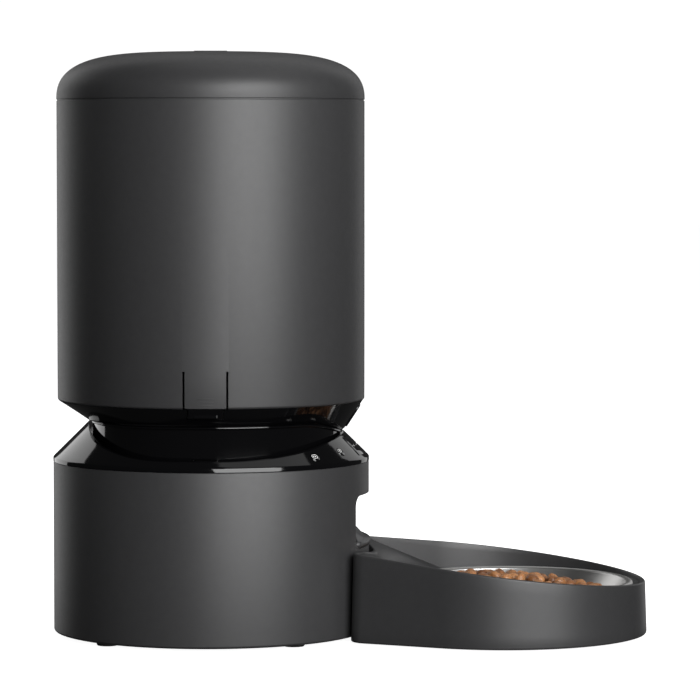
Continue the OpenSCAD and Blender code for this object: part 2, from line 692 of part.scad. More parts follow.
module desiccant_door() {
    y_rod = 24;
    color(inner) {
        difference() {
            union() {
                translate([bag_x0 - 1, -bag_y - 1, 311.6]) cube([door_hinge[0] - 3 - bag_x0 + 1, 2 * bag_y + 2, 1.6]);
                translate([bag_x0 - 2.4, -5, 311.6]) cube([3, 10, 1.6]);
            }
            for (i = [0:6]) translate([bag_x0 + 6 + 6 * i, -18, 310]) cube([2.4, 36, 5]);
        }
        for (y = [-12, 6]) translate([door_hinge[0] - 5, y, 311.6]) cube([5, 6, 1.6]);
        translate([door_hinge[0], -y_rod, door_hinge[1]]) rotate([-90, 0, 0]) cylinder(r = 1, h = 2 * y_rod);
    }
}
module lid_knob() {
    top = lid_z + lid_h;
    cup_floor = lid_z + 19.3;
    color(matte) {
        difference() {
            union() {
                translate([0, 0, cup_floor]) cylinder(r = knob_r, h = top + 0.2 - cup_floor);
                translate([-10, -3.4, top - 1]) cube([20, 6.8, 1 + knob_top - top]);
            }
            for (s = [-1, 1]) intersection() {
                translate([0, 0, top - 5.5]) cylinder(r = knob_r - 2.2, h = 12);
                translate([-20, s * 13.4 - 10, top - 5.5]) cube([40, 20, 12]);
            }
        }
        translate([0, 0, cam_z + 3]) cylinder(r = 5, h = cup_floor - cam_z - 3);
    }
}
module lock_cam() {
    function slot_r(a) = cam_pin_r + bolt_throw * a / knob_turn;
    slot_half = 1.75;
    slot = concat(
        [for (a = [7:-3:-98]) polar(slot_r(a) + slot_half, a)],
        [for (a = [-98:3:7]) polar(slot_r(a) - slot_half, a)]);
    color("#c9c4ba") difference() {
        translate([0, 0, cam_z]) cylinder(r = 23, h = 3);
        for (a = [90, 270]) translate([0, 0, cam_z - 1]) linear_extrude(5) rotate(a) polygon(slot);
    }
}
module lock_bolt() {
    color("#c9c4ba") {
        translate([-bolt_w / 2, 10, bolt_z]) cube([bolt_w, 91.2 - 10, bolt_t]);
        translate([0, cam_pin_r, bolt_z + bolt_t]) cylinder(r = 1.5, h = cam_z + 3 - bolt_z - bolt_t);
    }
}
module lock_bolt_left() { lock_bolt(); }
module lock_bolt_right() { rotate([0, 0, 180]) lock_bolt(); }

// ---------- tray ----------
rear_r = base_r + 1.5;    // hollow in the tray's back that the base stands in
rear_corner = 10;
tray_z = 1.2;             // underside of the tray, on its pads
rim_slope = 0.12;
rim_mid = 44;
rim_w = 3.4;
slide_x = 95.7;           // top edge of the slide, under the outlet
slide_z = 52.9;
slide_slope = 0.456;
slide_half = 45;
bowl_x = 185;
roll_r = 2.5;
pocket_r = bowl_r - 2.5;
bowl_gap = 1.5;           // round the bowl's rim
ledge_z = bowl_rim_z - roll_r - 0.05;
pocket_z = 6;

// Centre of the rounded rear corner, for a wall set in by d
function side_t(d) = let(
    s = sin(tray_side_angle), c = cos(tray_side_angle), r = tray_r - d, k = rear_corner,
    px = tray_x - r * s + k * s, py = r * c - k * c,
    b = px * c + py * s, q = px * px + py * py - pow(rear_r + d + k, 2)) b - sqrt(b * b - q);
function corner_at(d) = let(s = sin(tray_side_angle), c = cos(tray_side_angle), r = tray_r - d, t = side_t(d))
    [tray_x - r * s + rear_corner * s - t * c, r * c - rear_corner * c - t * s];
// The tray's outline, set in by d: round front, straight sides, rounded rear corners, hollow back
function tray_points(d) = let(
    p = corner_at(d), a = 90 + tray_side_angle, b = atan2(p[1], p[0]), back = 16)
    concat(
        arc([tray_x, 0], tray_r - d, -a, a, 76),
        arc(p, rear_corner, a, 180 + b, 10),
        [for (i = [1:back - 1]) polar(rear_r + d, b - 2 * b * i / back)],
        arc([p[0], -p[1]], rear_corner, 180 - b, 360 - a, 10));
module tray_outline(d) { polygon(tray_points(d)); }
// Everything under a plane that falls by slope towards the front and is z high at x
module under(x, z, slope) {
    rotate([90, 0, 0]) translate([0, 0, -150]) linear_extrude(300)
        polygon([[0, -10], [400, -10], [400, z - slope * (400 - x)], [0, z + slope * x]]);
}
module tray_shell() {
    t = 2.6;
    color(matte) difference() {
        union() {
            intersection() {
                translate([0, 0, tray_z]) linear_extrude(70) tray_outline(0);
                under(tray_x, rim_mid, rim_slope);
            }
            each_side() translate([85, hook_y - hook_w / 2, hook_z]) cube([11.5, hook_w, hook_t]);
        }
        // inside the rim, down to the ledge round the bowl, but for the slide
        difference() {
            union() {
                translate([0, 0, ledge_z]) linear_extrude(70) tray_outline(rim_w);
                translate([80, -slide_half, ledge_z]) cube([40, 2 * slide_half, 60]);
            }
            under(slide_x, slide_z, slide_slope);
        }
        translate([bowl_x, 0, ledge_z]) cylinder(r = bowl_r + bowl_gap, h = 60);
        translate([bowl_x, 0, pocket_z]) cylinder(r = pocket_r, h = 60);
        difference() {
            linear_extrude(ledge_z - t) tray_outline(t);
            translate([bowl_x, 0, 0]) cylinder(r = pocket_r + t, h = 60);
        }
        translate([bowl_x, 0, 0]) cylinder(r = pocket_r - t, h = pocket_z - t);
    }
}
module tray_pads() {
    color(rubber) for (a = [40:90:310]) translate([bowl_x, 0, 0]) rotate([0, 0, a - 7]) rotate_extrude(angle = 14)
        polygon([[pocket_r + 0.2, 0], [pocket_r + 2.4, 0], [pocket_r + 2.4, tray_z], [pocket_r + 0.2, tray_z]]);
}
module bowl() {
    t = 0.9;
    corner = [48, pocket_z + 9.6];
    corner_r = 9;
    roll = [bowl_r - roll_r, bowl_rim_z - roll_r];
    color(steel) translate([bowl_x, 0, 0]) rotate_extrude() polygon(concat(
        [[0, corner[1] - corner_r]],
        arc(corner, corner_r, -90, -25, 6),
        arc(roll, roll_r - t, 165, 0, 9),
        arc(roll, roll_r, 0, 165, 12),
        arc(corner, corner_r - t, -25, -90, 6),
        [[0, corner[1] - corner_r + t]]));
}

on_axis() base_shell();
on_axis() base_bottom();
on_axis() feet();
on_axis() top_deck();
on_axis() deck_posts();
on_axis() control_collar();
on_axis() display_lens();
on_axis() outlet_chute();
on_axis() ir_windows();
on_axis() gearbox_case();
on_axis() gearbox_cover();
on_axis() gear_pins();
on_axis() motor();
on_axis() motor_pinion();
on_axis() first_gear();
on_axis() second_gear();
on_axis() output_gear();
on_axis() main_board();
on_axis() speaker();
on_axis() power_inlet();
on_axis() battery_box();
on_axis() battery_contacts();
on_axis() battery_cover();
on_axis() cover_pins();
on_axis() base_screws();
on_axis() key_strip();
on_axis() key(key_angles[0]);  // key_left_outer
on_axis() key(key_angles[1]);  // key_left_inner
on_axis() key(key_angles[2]);  // key_right_inner
on_axis() key(key_angles[3]);  // key_right_outer
on_axis() hopper_shell();
on_axis() hopper_waist();
on_axis() hopper_funnel();
on_axis() metering_cover();
on_axis() level_window();
on_axis() latch_left();
on_axis() latch_right();
on_axis() rotor_hub();
on_axis() rotor_fins();
on_axis() agitator();
on_axis() lid_shell();
on_axis() lid_liner();
on_axis() lid_seal();
on_axis() lid_screws();
on_axis() desiccant_bag();
on_axis() desiccant_door();
on_axis() lid_knob();
on_axis() lock_cam();
on_axis() lock_bolt_left();
on_axis() lock_bolt_right();
on_axis() tray_shell();
on_axis() tray_pads();
on_axis() bowl();
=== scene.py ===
"""Looks of the automatic pet feeder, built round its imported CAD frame. Metres, +Z up, +X front."""
import json
import math
import random

import bmesh
import bpy
import numpy as np
from mathutils import Matrix, Vector


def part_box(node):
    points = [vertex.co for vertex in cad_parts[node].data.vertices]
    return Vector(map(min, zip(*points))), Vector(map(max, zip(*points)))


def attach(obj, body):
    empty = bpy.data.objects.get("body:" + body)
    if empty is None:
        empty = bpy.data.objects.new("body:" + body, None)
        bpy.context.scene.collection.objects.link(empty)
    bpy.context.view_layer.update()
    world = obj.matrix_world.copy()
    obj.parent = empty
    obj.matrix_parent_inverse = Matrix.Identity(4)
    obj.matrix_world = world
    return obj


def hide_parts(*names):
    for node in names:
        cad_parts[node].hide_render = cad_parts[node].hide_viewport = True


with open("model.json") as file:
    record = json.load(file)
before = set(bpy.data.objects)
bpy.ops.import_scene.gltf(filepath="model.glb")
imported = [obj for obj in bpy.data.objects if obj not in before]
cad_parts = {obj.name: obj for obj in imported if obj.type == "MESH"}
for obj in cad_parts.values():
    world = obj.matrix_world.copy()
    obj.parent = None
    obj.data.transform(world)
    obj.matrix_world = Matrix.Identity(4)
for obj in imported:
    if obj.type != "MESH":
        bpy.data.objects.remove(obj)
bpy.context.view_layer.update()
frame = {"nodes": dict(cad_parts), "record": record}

MM = 0.001
TAU = 2 * math.pi
AROUND = 256              # points round a turned piece

# ---------- places that come from the frame ----------
shell_lo, shell_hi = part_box("hopper_shell")
base_lo, base_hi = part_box("base_shell")
lid_lo, lid_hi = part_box("lid_shell")
collar_lo, collar_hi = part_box("control_collar")
bowl_lo, bowl_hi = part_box("bowl")
tray_lo, tray_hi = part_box("tray_shell")
AXIS_X = (shell_lo.x + shell_hi.x) / 2
BOWL_X = (bowl_lo.x + bowl_hi.x) / 2
HOPPER_R = (shell_hi.x - shell_lo.x) / 2
BASE_R = (base_hi.y - base_lo.y) / 2
COLLAR_R = (collar_hi.y - collar_lo.y) / 2
LID_Z = lid_lo.z
LID_H = lid_hi.z - lid_lo.z
WALL = 2.5 * MM

# Collar and neck, as the CAD part has them
CONE_Z = 109.7 * MM
CONE_SLOPE = 0.988
CONE_ANGLE = math.atan(CONE_SLOPE)
NECK_X = 3.5 * MM
NECK_A = 77.8 * MM
LIP_B = 92.3 * MM
NECK_B = 85 * MM
BACK_POWER = 2.45
NECK_GAP = 0.6 * MM
WAIST_Z = 132.4 * MM
WAIST_DIP = 7.4 * MM
DIP_ANGLE = 50


# ---------- geometry helpers ----------
def arc(cx, cy, radius, start, end, steps):
    """Points along a circular arc, angles in degrees."""
    turns = [start + (end - start) * i / steps for i in range(steps + 1)]
    return [(cx + radius * math.cos(math.radians(t)), cy + radius * math.sin(math.radians(t))) for t in turns]


def rounded(corners, steps=5):
    """A closed outline whose corners (x, y, radius) are filleted."""
    points = []
    n = len(corners)
    for i, (x, y, r) in enumerate(corners):
        if r <= 0:
            points.append((x, y))
            continue
        here = Vector((x, y))
        back = (Vector(corners[i - 1][:2]) - here).normalized()
        ahead = (Vector(corners[(i + 1) % n][:2]) - here).normalized()
        half = back.angle(ahead) / 2
        centre = here + (back + ahead).normalized() * (r / math.sin(half))
        first = here + back * (r / math.tan(half)) - centre
        last = here + ahead * (r / math.tan(half)) - centre
        for k in range(steps + 1):
            v = first.lerp(last, k / steps)
            v = v.normalized() * r
            points.append(tuple(centre + v))
    return points


def link(name, bm, smooth=35):
    """A new object from a bmesh, shaded smooth but for edges sharper than smooth degrees."""
    bmesh.ops.remove_doubles(bm, verts=bm.verts, dist=1e-7)
    bmesh.ops.recalc_face_normals(bm, faces=bm.faces)
    mesh = bpy.data.meshes.new(name)
    bm.to_mesh(mesh)
    bm.free()
    obj = bpy.data.objects.new(name, mesh)
    bpy.context.scene.collection.objects.link(obj)
    shade(obj, smooth)
    return obj


def shade(obj, smooth=35):
    obj.data.polygons.foreach_set("use_smooth", [True] * len(obj.data.polygons))
    obj.data.set_sharp_from_angle(angle=math.radians(smooth))


def add_loft(bm, rings, wrap=True, closed=True):
    """Faces between rings of points. wrap joins each ring's ends, closed joins the last ring to the first."""
    rows = [[bm.verts.new(p) for p in ring] for ring in rings]
    count = len(rings[0])
    last = len(rows) if closed else len(rows) - 1
    for j in range(last):
        a, b = rows[j], rows[(j + 1) % len(rows)]
        for i in range(count if wrap else count - 1):
            k = (i + 1) % count
            quad = [a[i], a[k], b[k], b[i]]
            bm.faces.new(quad)
    return rows


def loft(name, rings, wrap=True, closed=True, smooth=35):
    bm = bmesh.new()
    add_loft(bm, rings, wrap, closed)
    return link(name, bm, smooth)


def lathe(name, profile, x=None, around=AROUND, smooth=35, closed=True):
    """A surface of revolution about the upright axis at x, from (radius, height) points."""
    x = AXIS_X if x is None else x
    turns = [TAU * i / around for i in range(around)]
    profile = [(max(r, 1e-9), z) for r, z in profile]
    rings = [[(x + r * math.cos(t), r * math.sin(t), z) for t in turns] for r, z in profile]
    bm = bmesh.new()
    add_loft(bm, rings, True, closed)
    bmesh.ops.remove_doubles(bm, verts=bm.verts, dist=1e-6)
    flat = [f for f in bm.faces if f.calc_area() < 1e-14]
    bmesh.ops.delete(bm, geom=flat, context="FACES_ONLY")
    return link(name, bm, smooth)


def prism(name, outline, depth, matrix):
    """A straight extrusion of an outline in its own XY plane, placed by a matrix."""
    bm = bmesh.new()
    low = [bm.verts.new((x, y, 0)) for x, y in outline]
    high = [bm.verts.new((x, y, depth)) for x, y in outline]
    bm.faces.new(low[::-1])
    bm.faces.new(high)
    for i in range(len(low)):
        k = (i + 1) % len(low)
        bm.faces.new([low[i], low[k], high[k], high[i]])
    bmesh.ops.transform(bm, matrix=matrix, verts=bm.verts)
    return link(name, bm, 30)


def block(name, low, high):
    """A plain box used as a cutter."""
    outline = [(low[0], low[1]), (high[0], low[1]), (high[0], high[1]), (low[0], high[1])]
    return prism(name, outline, high[2] - low[2], Matrix.Translation((0, 0, low[2])))


def add_box(bm, low, high):
    """A plain box between two corners, added to a bmesh."""
    for v in bmesh.ops.create_cube(bm, size=1)["verts"]:
        v.co = [low[i] if v.co[i] < 0 else high[i] for i in range(3)]


def rounded_rect(w, h, r, steps=6):
    return rounded([(-w / 2, -h / 2, r), (w / 2, -h / 2, r), (w / 2, h / 2, r), (-w / 2, h / 2, r)], steps)


def carve(obj, cutters, smooth=35):
    """Cuts the cutters out of obj for good, and removes them."""
    for cutter in cutters:
        cut = obj.modifiers.new("cut", "BOOLEAN")
        cut.object = cutter
        cut.operation = "DIFFERENCE"
        cut.solver = "EXACT"
    bpy.context.view_layer.update()
    evaluated = obj.evaluated_get(bpy.context.evaluated_depsgraph_get())
    mesh = bpy.data.meshes.new_from_object(evaluated)
    obj.modifiers.clear()
    obj.data = mesh
    for cutter in cutters:
        bpy.data.objects.remove(cutter)
    shade(obj, smooth)
    return obj


def soften(obj, width, angle=40, segments=2):
    """A small rounding on every edge sharper than angle."""
    bevel = obj.modifiers.new("soften", "BEVEL")
    bevel.width = width
    bevel.segments = segments
    bevel.limit_method = "ANGLE"
    bevel.angle_limit = math.radians(angle)
    bevel.harden_normals = True
    return obj


def cone_height(r):
    return CONE_Z + (COLLAR_R - r) * CONE_SLOPE


def outline_point(t, b, d=0.0):
    """A point of an outline round the neck: an ellipse in front, squarer behind."""
    power = BACK_POWER if math.cos(t) < 0 else 2
    c, s = math.cos(t), math.sin(t)
    x = math.copysign(abs(c) ** (2 / power), c) * (NECK_A + d)
    y = math.copysign(abs(s) ** (2 / power), s) * (b + d)
    return Vector((NECK_X + x, y))


def waist_low(p):
    a = abs(math.degrees(math.atan2(p.y, p.x)))
    if a >= DIP_ANGLE:
        return WAIST_Z
    return WAIST_Z - WAIST_DIP * (1 + math.cos(math.pi * a / DIP_ANGLE)) / 2


def lip_radius(degrees):
    """Distance from the body's axis to the front half of the collar's lip."""
    a = math.radians(degrees)
    k = (math.cos(a) / NECK_A) ** 2 + (math.sin(a) / LIP_B) ** 2
    h = NECK_X * math.cos(a) / NECK_A ** 2
    c = (NECK_X / NECK_A) ** 2 - 1
    return (h + math.sqrt(h * h - k * c)) / k


def on_slope(degrees, radius, height=0.0):
    """Matrix of a spot on the collar's slope: local x runs down the slope, y round it and z out of it."""
    spin = Matrix.Rotation(math.radians(degrees), 4, "Z")
    place = Matrix.Translation((radius, 0, cone_height(radius)))
    tilt = Matrix.Rotation(CONE_ANGLE, 4, "Y")
    return Matrix.Translation((AXIS_X, 0, 0)) @ spin @ place @ tilt @ Matrix.Translation((0, 0, height))


def sides():
    """Each side of the feeder: the name of its latch and the sign of y there."""
    return [("left", 1), ("right", -1)]


# ---------- materials ----------
def material(name, colour, roughness, metallic=0.0):
    mat = bpy.data.materials.new(name)
    mat.use_nodes = True
    shader = mat.node_tree.nodes["Principled BSDF"]
    shader.inputs["Base Color"].default_value = (*colour, 1)
    shader.inputs["Roughness"].default_value = roughness
    shader.inputs["Metallic"].default_value = metallic
    return mat, mat.node_tree, shader


def node(tree, kind, **inputs):
    n = tree.nodes.new(kind)
    for key, value in inputs.items():
        n.inputs[key.replace("_", " ")].default_value = value
    return n


def noise(tree, scale, detail=3.0, rough=0.5, vector=None):
    n = node(tree, "ShaderNodeTexNoise", Scale=scale, Detail=detail, Roughness=rough)
    if vector is None:
        vector = tree.nodes.new("ShaderNodeTexCoord").outputs["Object"]
    tree.links.new(vector, n.inputs["Vector"])
    return n.outputs["Fac"]


def spread(tree, value, low, high, from_low=0.3, from_high=0.7):
    """Maps a noise value to a range."""
    n = node(tree, "ShaderNodeMapRange")
    n.inputs["From Min"].default_value = from_low
    n.inputs["From Max"].default_value = from_high
    n.inputs["To Min"].default_value = low
    n.inputs["To Max"].default_value = high
    tree.links.new(value, n.inputs["Value"])
    return n.outputs["Result"]


def mix_colours(tree, factor, dark, light):
    n = tree.nodes.new("ShaderNodeMix")
    n.data_type = "RGBA"
    n.inputs["A"].default_value = (*dark, 1)
    n.inputs["B"].default_value = (*light, 1)
    tree.links.new(factor, n.inputs["Factor"])
    return n.outputs["Result"]


def bump(tree, shader, height, strength, distance):
    n = node(tree, "ShaderNodeBump", Strength=strength, Distance=distance)
    tree.links.new(height, n.inputs["Height"])
    tree.links.new(n.outputs["Normal"], shader.inputs["Normal"])
    return n


def wash(tree, shader, value, dark, light):
    """Lets the colour wander between dark and light with a noise value."""
    tree.links.new(mix_colours(tree, value, dark, light), shader.inputs["Base Color"])


def dull(tree, shader, value, low, high):
    """Lets the roughness wander between low and high with a noise value."""
    tree.links.new(spread(tree, value, low, high), shader.inputs["Roughness"])


def moulded(name, colour, roughness=0.5, grain=2600, depth=0.25, vary=0.12):
    """Moulded plastic: a faint mottle in colour and gloss over a fine spark-eroded grain."""
    mat, tree, shader = material(name, colour, roughness)
    cloud = noise(tree, 240, 5)
    dark = [c * (1 - vary) for c in colour]
    light = [c * (1 + vary) for c in colour]
    wash(tree, shader, cloud, dark, light)
    dull(tree, shader, noise(tree, 420, 3), roughness - 0.02, roughness + 0.02)
    bump(tree, shader, noise(tree, grain, 2), depth, 0.00006)
    return mat


def polished(name, colour, roughness=0.07, depth=0.12):
    """Polished plastic: a very slight waviness and a few dull patches."""
    mat, tree, shader = material(name, colour, roughness)
    dull(tree, shader, noise(tree, 24, 3), roughness * 0.75, roughness * 1.35)
    bump(tree, shader, noise(tree, 70, 2), depth, 0.00005)
    return mat


def plated(name, colour, roughness=0.28):
    mat, tree, shader = material(name, colour, roughness, metallic=1.0)
    dull(tree, shader, noise(tree, 300, 4), roughness - 0.08, roughness + 0.1)
    bump(tree, shader, noise(tree, 1500, 2), 0.2, 0.00004)
    return mat


def spun_steel(name, x, colour=(0.52, 0.515, 0.505), roughness=0.3):
    """Stainless steel spun about the upright axis at x, with fine rings."""
    mat, tree, shader = material(name, colour, roughness, metallic=1.0)
    place = tree.nodes.new("ShaderNodeTexCoord").outputs["Object"]
    split = tree.nodes.new("ShaderNodeSeparateXYZ")
    tree.links.new(place, split.inputs["Vector"])
    shift = node(tree, "ShaderNodeMath")
    shift.operation = "SUBTRACT"
    shift.inputs[1].default_value = x
    tree.links.new(split.outputs["X"], shift.inputs[0])
    flat = tree.nodes.new("ShaderNodeCombineXYZ")
    tree.links.new(shift.outputs[0], flat.inputs["X"])
    tree.links.new(split.outputs["Y"], flat.inputs["Y"])
    radius = tree.nodes.new("ShaderNodeVectorMath")
    radius.operation = "LENGTH"
    tree.links.new(flat.outputs["Vector"], radius.inputs[0])
    ring = tree.nodes.new("ShaderNodeCombineXYZ")
    tree.links.new(radius.outputs["Value"], ring.inputs["X"])
    tree.links.new(split.outputs["Z"], ring.inputs["Y"])
    lines = noise(tree, 2600, 3, 0.6, ring.outputs["Vector"])
    dull(tree, shader, lines, roughness - 0.03, roughness + 0.05)
    bump(tree, shader, lines, 0.06, 0.00002)
    shader.inputs["Anisotropic"].default_value = 0.5
    return mat


def bonded_fibre(name, colour):
    """Thin bonded non-woven, dimpled in a regular pattern."""
    mat, tree, shader = material(name, colour, 0.85)
    place = tree.nodes.new("ShaderNodeTexCoord").outputs["Object"]
    dimple = node(tree, "ShaderNodeTexVoronoi", Scale=620)
    tree.links.new(place, dimple.inputs["Vector"])
    wash(tree, shader, noise(tree, 900, 5), [c * 0.85 for c in colour], colour)
    bump(tree, shader, dimple.outputs["Distance"], 0.5, 0.0003)
    shader.inputs["Sheen Weight"].default_value = 0.2
    return mat


def baked_food(name):
    """Baked kibble: a tone for each piece, painted shade in the pores (darker where the bump dips) and a slightly
    greasy skin.
    """
    mat, tree, shader = material(name, (0.32, 0.13, 0.045), 0.5)
    tone = tree.nodes.new("ShaderNodeAttribute")
    tone.attribute_name = "tone"
    base = mix_colours(tree, tone.outputs["Fac"], (0.16, 0.060, 0.020), (0.46, 0.215, 0.085))
    # Painted shade: the colour darkens where the pore bump dips.
    pores = noise(tree, 900, 5, 0.65)
    dark = tree.nodes.new("ShaderNodeMix")
    dark.data_type = "RGBA"
    dark.blend_type = "MULTIPLY"
    dark.inputs["B"].default_value = (0.45, 0.36, 0.3, 1)
    tree.links.new(spread(tree, pores, 0.75, 0.0, 0.35, 0.55), dark.inputs["Factor"])
    tree.links.new(base, dark.inputs["A"])
    tree.links.new(dark.outputs["Result"], shader.inputs["Base Color"])
    dull(tree, shader, noise(tree, 500, 3), 0.30, 0.48)
    bump(tree, shader, pores, 0.6, 0.0004)
    shader.inputs["Subsurface Weight"].default_value = 0.05
    shader.inputs["Subsurface Radius"].default_value = (0.002, 0.0008, 0.0004)
    return mat


CHARCOAL = (0.029, 0.029, 0.030)
matte_shell = moulded("matte_charcoal", CHARCOAL, 0.47)
tray_matte = moulded("tray_charcoal", CHARCOAL, 0.42)
gloss_black = polished("gloss_black", (0.002, 0.002, 0.0023))
lens_black = polished("lens_black", (0.003, 0.003, 0.004), 0.05)
inner_grey = moulded("inner_grey", (0.12, 0.12, 0.125), 0.45)
satin_black = moulded("satin_black", (0.015, 0.015, 0.017), 0.4)
white_mould = moulded("white_mould", (0.72, 0.71, 0.68), 0.4, vary=0.04)
acetal = moulded("acetal", (0.55, 0.52, 0.47), 0.38, vary=0.05)
board_green = moulded("board_green", (0.02, 0.12, 0.05), 0.3, 600, 0.15)
rubber = moulded("rubber", (0.02, 0.02, 0.02), 0.75, 1800, 0.4)
silicone = moulded("silicone", (0.32, 0.33, 0.33), 0.42, 1200, 0.15, 0.05)
steel = plated("plated_steel", (0.56, 0.57, 0.58))
brass = plated("machined_brass", (0.7, 0.52, 0.25), 0.3)
bowl_steel = spun_steel("spun_steel", BOWL_X)
bag_cloth = bonded_fibre("bag_cloth", (0.78, 0.77, 0.73))
mark_white = moulded("mark_white", (0.75, 0.75, 0.74), 0.5, vary=0.03)
kibble_skin = baked_food("kibble_skin")

SLOTS = {
    "matte_shell": matte_shell, "gloss_black": gloss_black, "smoked_lens": lens_black,
    "inner_plastic": inner_grey, "black_plastic": satin_black, "white_plastic": white_mould,
    "acetal": acetal, "circuit_board": board_green, "rubber": rubber, "silicone": silicone,
    "bag_paper": bag_cloth, "steel": steel, "brass": brass, "bowl_steel": bowl_steel,
}


def finish_cad_nodes():
    """Each carried-over CAD node gets its slot's material and smooth faces; the chute gets the tray's."""
    slots = {s["node"]: s["material_slot"] for s in frame["record"]["subparts"]}
    for name, obj in frame["nodes"].items():
        obj.data.materials.clear()
        obj.data.materials.append(tray_matte if name == "outlet_chute" else SLOTS[slots[name]])
        if obj.hide_render:
            continue
        weld = obj.modifiers.new("weld", "WELD")
        weld.merge_threshold = 1e-6
        shade(obj, 30)


def place(obj, body, mat, slot, *nodes):
    """Gives a made piece its material and its body, and hides the CAD nodes it stands for; slot is not used."""
    obj.data.materials.clear()
    obj.data.materials.append(mat)
    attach(obj, body)
    if nodes:
        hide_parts(*nodes)
    return obj


# ---------- camera, floor and light ----------
CAMERA_AT = (-0.0003, -2.28, 0.2994)
CAMERA_DOWN = 3.135        # degrees below level


def make_camera():
    data = bpy.data.cameras.new("camera")
    data.lens = 191.3
    data.sensor_width = 36
    data.clip_end = 50
    cam = bpy.data.objects.new("camera", data)
    cam.location = CAMERA_AT
    cam.rotation_euler = (math.radians(90 - CAMERA_DOWN), 0, 0)
    bpy.context.scene.collection.objects.link(cam)
    bpy.context.scene.camera = cam
    bpy.context.scene.view_settings.view_transform = "Standard"


# Each panel's name, azimuth, distance, height, width, tall side, watts and the height that it faces
PANELS = [
    ("main_panel", 27, 2.3, 0.7, 2.2, 1.65, 76, 0.25),
    ("upper_panel", 30, 2.0, 1.45, 1.5, 0.5, 24, 0.33),
    ("left_edge_panel", -140, 2.2, 0.6, 1.3, 1.9, 10, 0.3),
    ("right_edge_panel", 152, 2.2, 0.6, 0.7, 1.9, 3, 0.3),
    ("overhead_panel", 140, 0.6, 2.2, 2.0, 1.6, 6, 0.25),
    ("rear_top_panel", 180, 1.9, 1.7, 2.4, 0.5, 3, 0.33),
]


def area_light(name, azimuth, distance, height, width, tall, power, aim):
    """A soft panel, azimuth in degrees to the right of the camera's side of the feeder."""
    data = bpy.data.lights.new(name, "AREA")
    data.shape = "RECTANGLE"
    data.size = width
    data.size_y = tall
    data.energy = power
    lamp = bpy.data.objects.new(name, data)
    a = math.radians(azimuth)
    lamp.location = (distance * math.sin(a), -distance * math.cos(a), height)
    lamp.rotation_euler = (Vector((0, 0, aim)) - lamp.location).to_track_quat("-Z", "Y").to_euler()
    bpy.context.scene.collection.objects.link(lamp)


def make_world():
    """White behind the object, and a dim even fill on it."""
    world = bpy.data.worlds.new("studio")
    bpy.context.scene.world = world
    world.use_nodes = True
    tree = world.node_tree
    back = tree.nodes["Background"]
    path = tree.nodes.new("ShaderNodeLightPath")
    level = node(tree, "ShaderNodeMapRange")
    fill = node(tree, "ShaderNodeMapRange")
    fill.inputs["To Min"].default_value = 0.06
    fill.inputs["To Max"].default_value = 0.03
    level.inputs["To Max"].default_value = 1.05
    tree.links.new(path.outputs["Is Glossy Ray"], fill.inputs["Value"])
    tree.links.new(fill.outputs["Result"], level.inputs["To Min"])
    tree.links.new(path.outputs["Is Camera Ray"], level.inputs["Value"])
    tree.links.new(level.outputs["Result"], back.inputs["Strength"])
    back.inputs["Color"].default_value = (1, 1, 1, 1)


def make_floor():
    bm = bmesh.new()
    bmesh.ops.create_grid(bm, x_segments=2, y_segments=2, size=12)
    floor = link("floor", bm)
    mat, tree, shader = material("pale_floor", (0.88, 0.88, 0.88), 0.9)
    shader.inputs["Specular IOR Level"].default_value = 0
    shader.inputs["Emission Color"].default_value = (1, 1, 1, 1)
    shader.inputs["Emission Strength"].default_value = 0.95
    wash(tree, shader, noise(tree, 3, 2), (0.87, 0.87, 0.87), (0.89, 0.89, 0.89))
    floor.data.materials.append(mat)
    floor.visible_diffuse = False
    floor.visible_glossy = False


# ---------- lid and hopper ----------
def lid_curve(d, start=0.0, steps=64):
    """The lid's side profile, set in by d, from angle start of the seam up to the crown."""
    points = []
    for i in range(steps + 1):
        t = start + (math.pi / 2 - start) * i / steps
        r = (LID_R - d) * max(0.0, math.cos(t)) ** 0.5
        points.append((r, LID_Z + (LID_H - d) * math.sin(t) ** 0.8))
    return points


LID_R = HOPPER_R + 0.1 * MM


def make_lid_cover():
    cup = 17.4 * MM
    top = [p for p in lid_curve(0) if p[0] > cup + 1.2 * MM]
    under = [p for p in lid_curve(2.4 * MM) if p[0] > 19.7 * MM]
    crown = LID_Z + LID_H
    skirt = shell_hi.z + 0.04 * MM
    profile = [(LID_R - 2.4 * MM, skirt), (LID_R - 0.5 * MM, skirt), (LID_R - 0.5 * MM, LID_Z)]
    profile += [(LID_R - 0.25 * MM, LID_Z), (LID_R, LID_Z + 0.25 * MM)] + top[1:]
    profile += [(cup + 0.7 * MM, crown - 0.02 * MM), (cup + 0.2 * MM, crown - 0.2 * MM)]
    profile += [(cup, crown - 0.7 * MM)]
    profile += [(cup, LID_Z + 19.6 * MM), (cup - 0.6 * MM, LID_Z + 19 * MM), (5.05 * MM, LID_Z + 19 * MM)]
    profile += [(5.05 * MM, LID_Z + 17 * MM), (19.6 * MM, LID_Z + 17 * MM), (19.6 * MM, under[-1][1])]
    profile += under[::-1]
    place(lathe("lid_cover", profile), "lid", matte_shell, "matte_shell", "lid_shell")


LATCH_HALF = 12.25 * MM
SLOT = 1.3 * MM
LATCH_TOP = 166 * MM
HOPPER_LOW = 144.3 * MM
TAB_HALF = 10.3 * MM


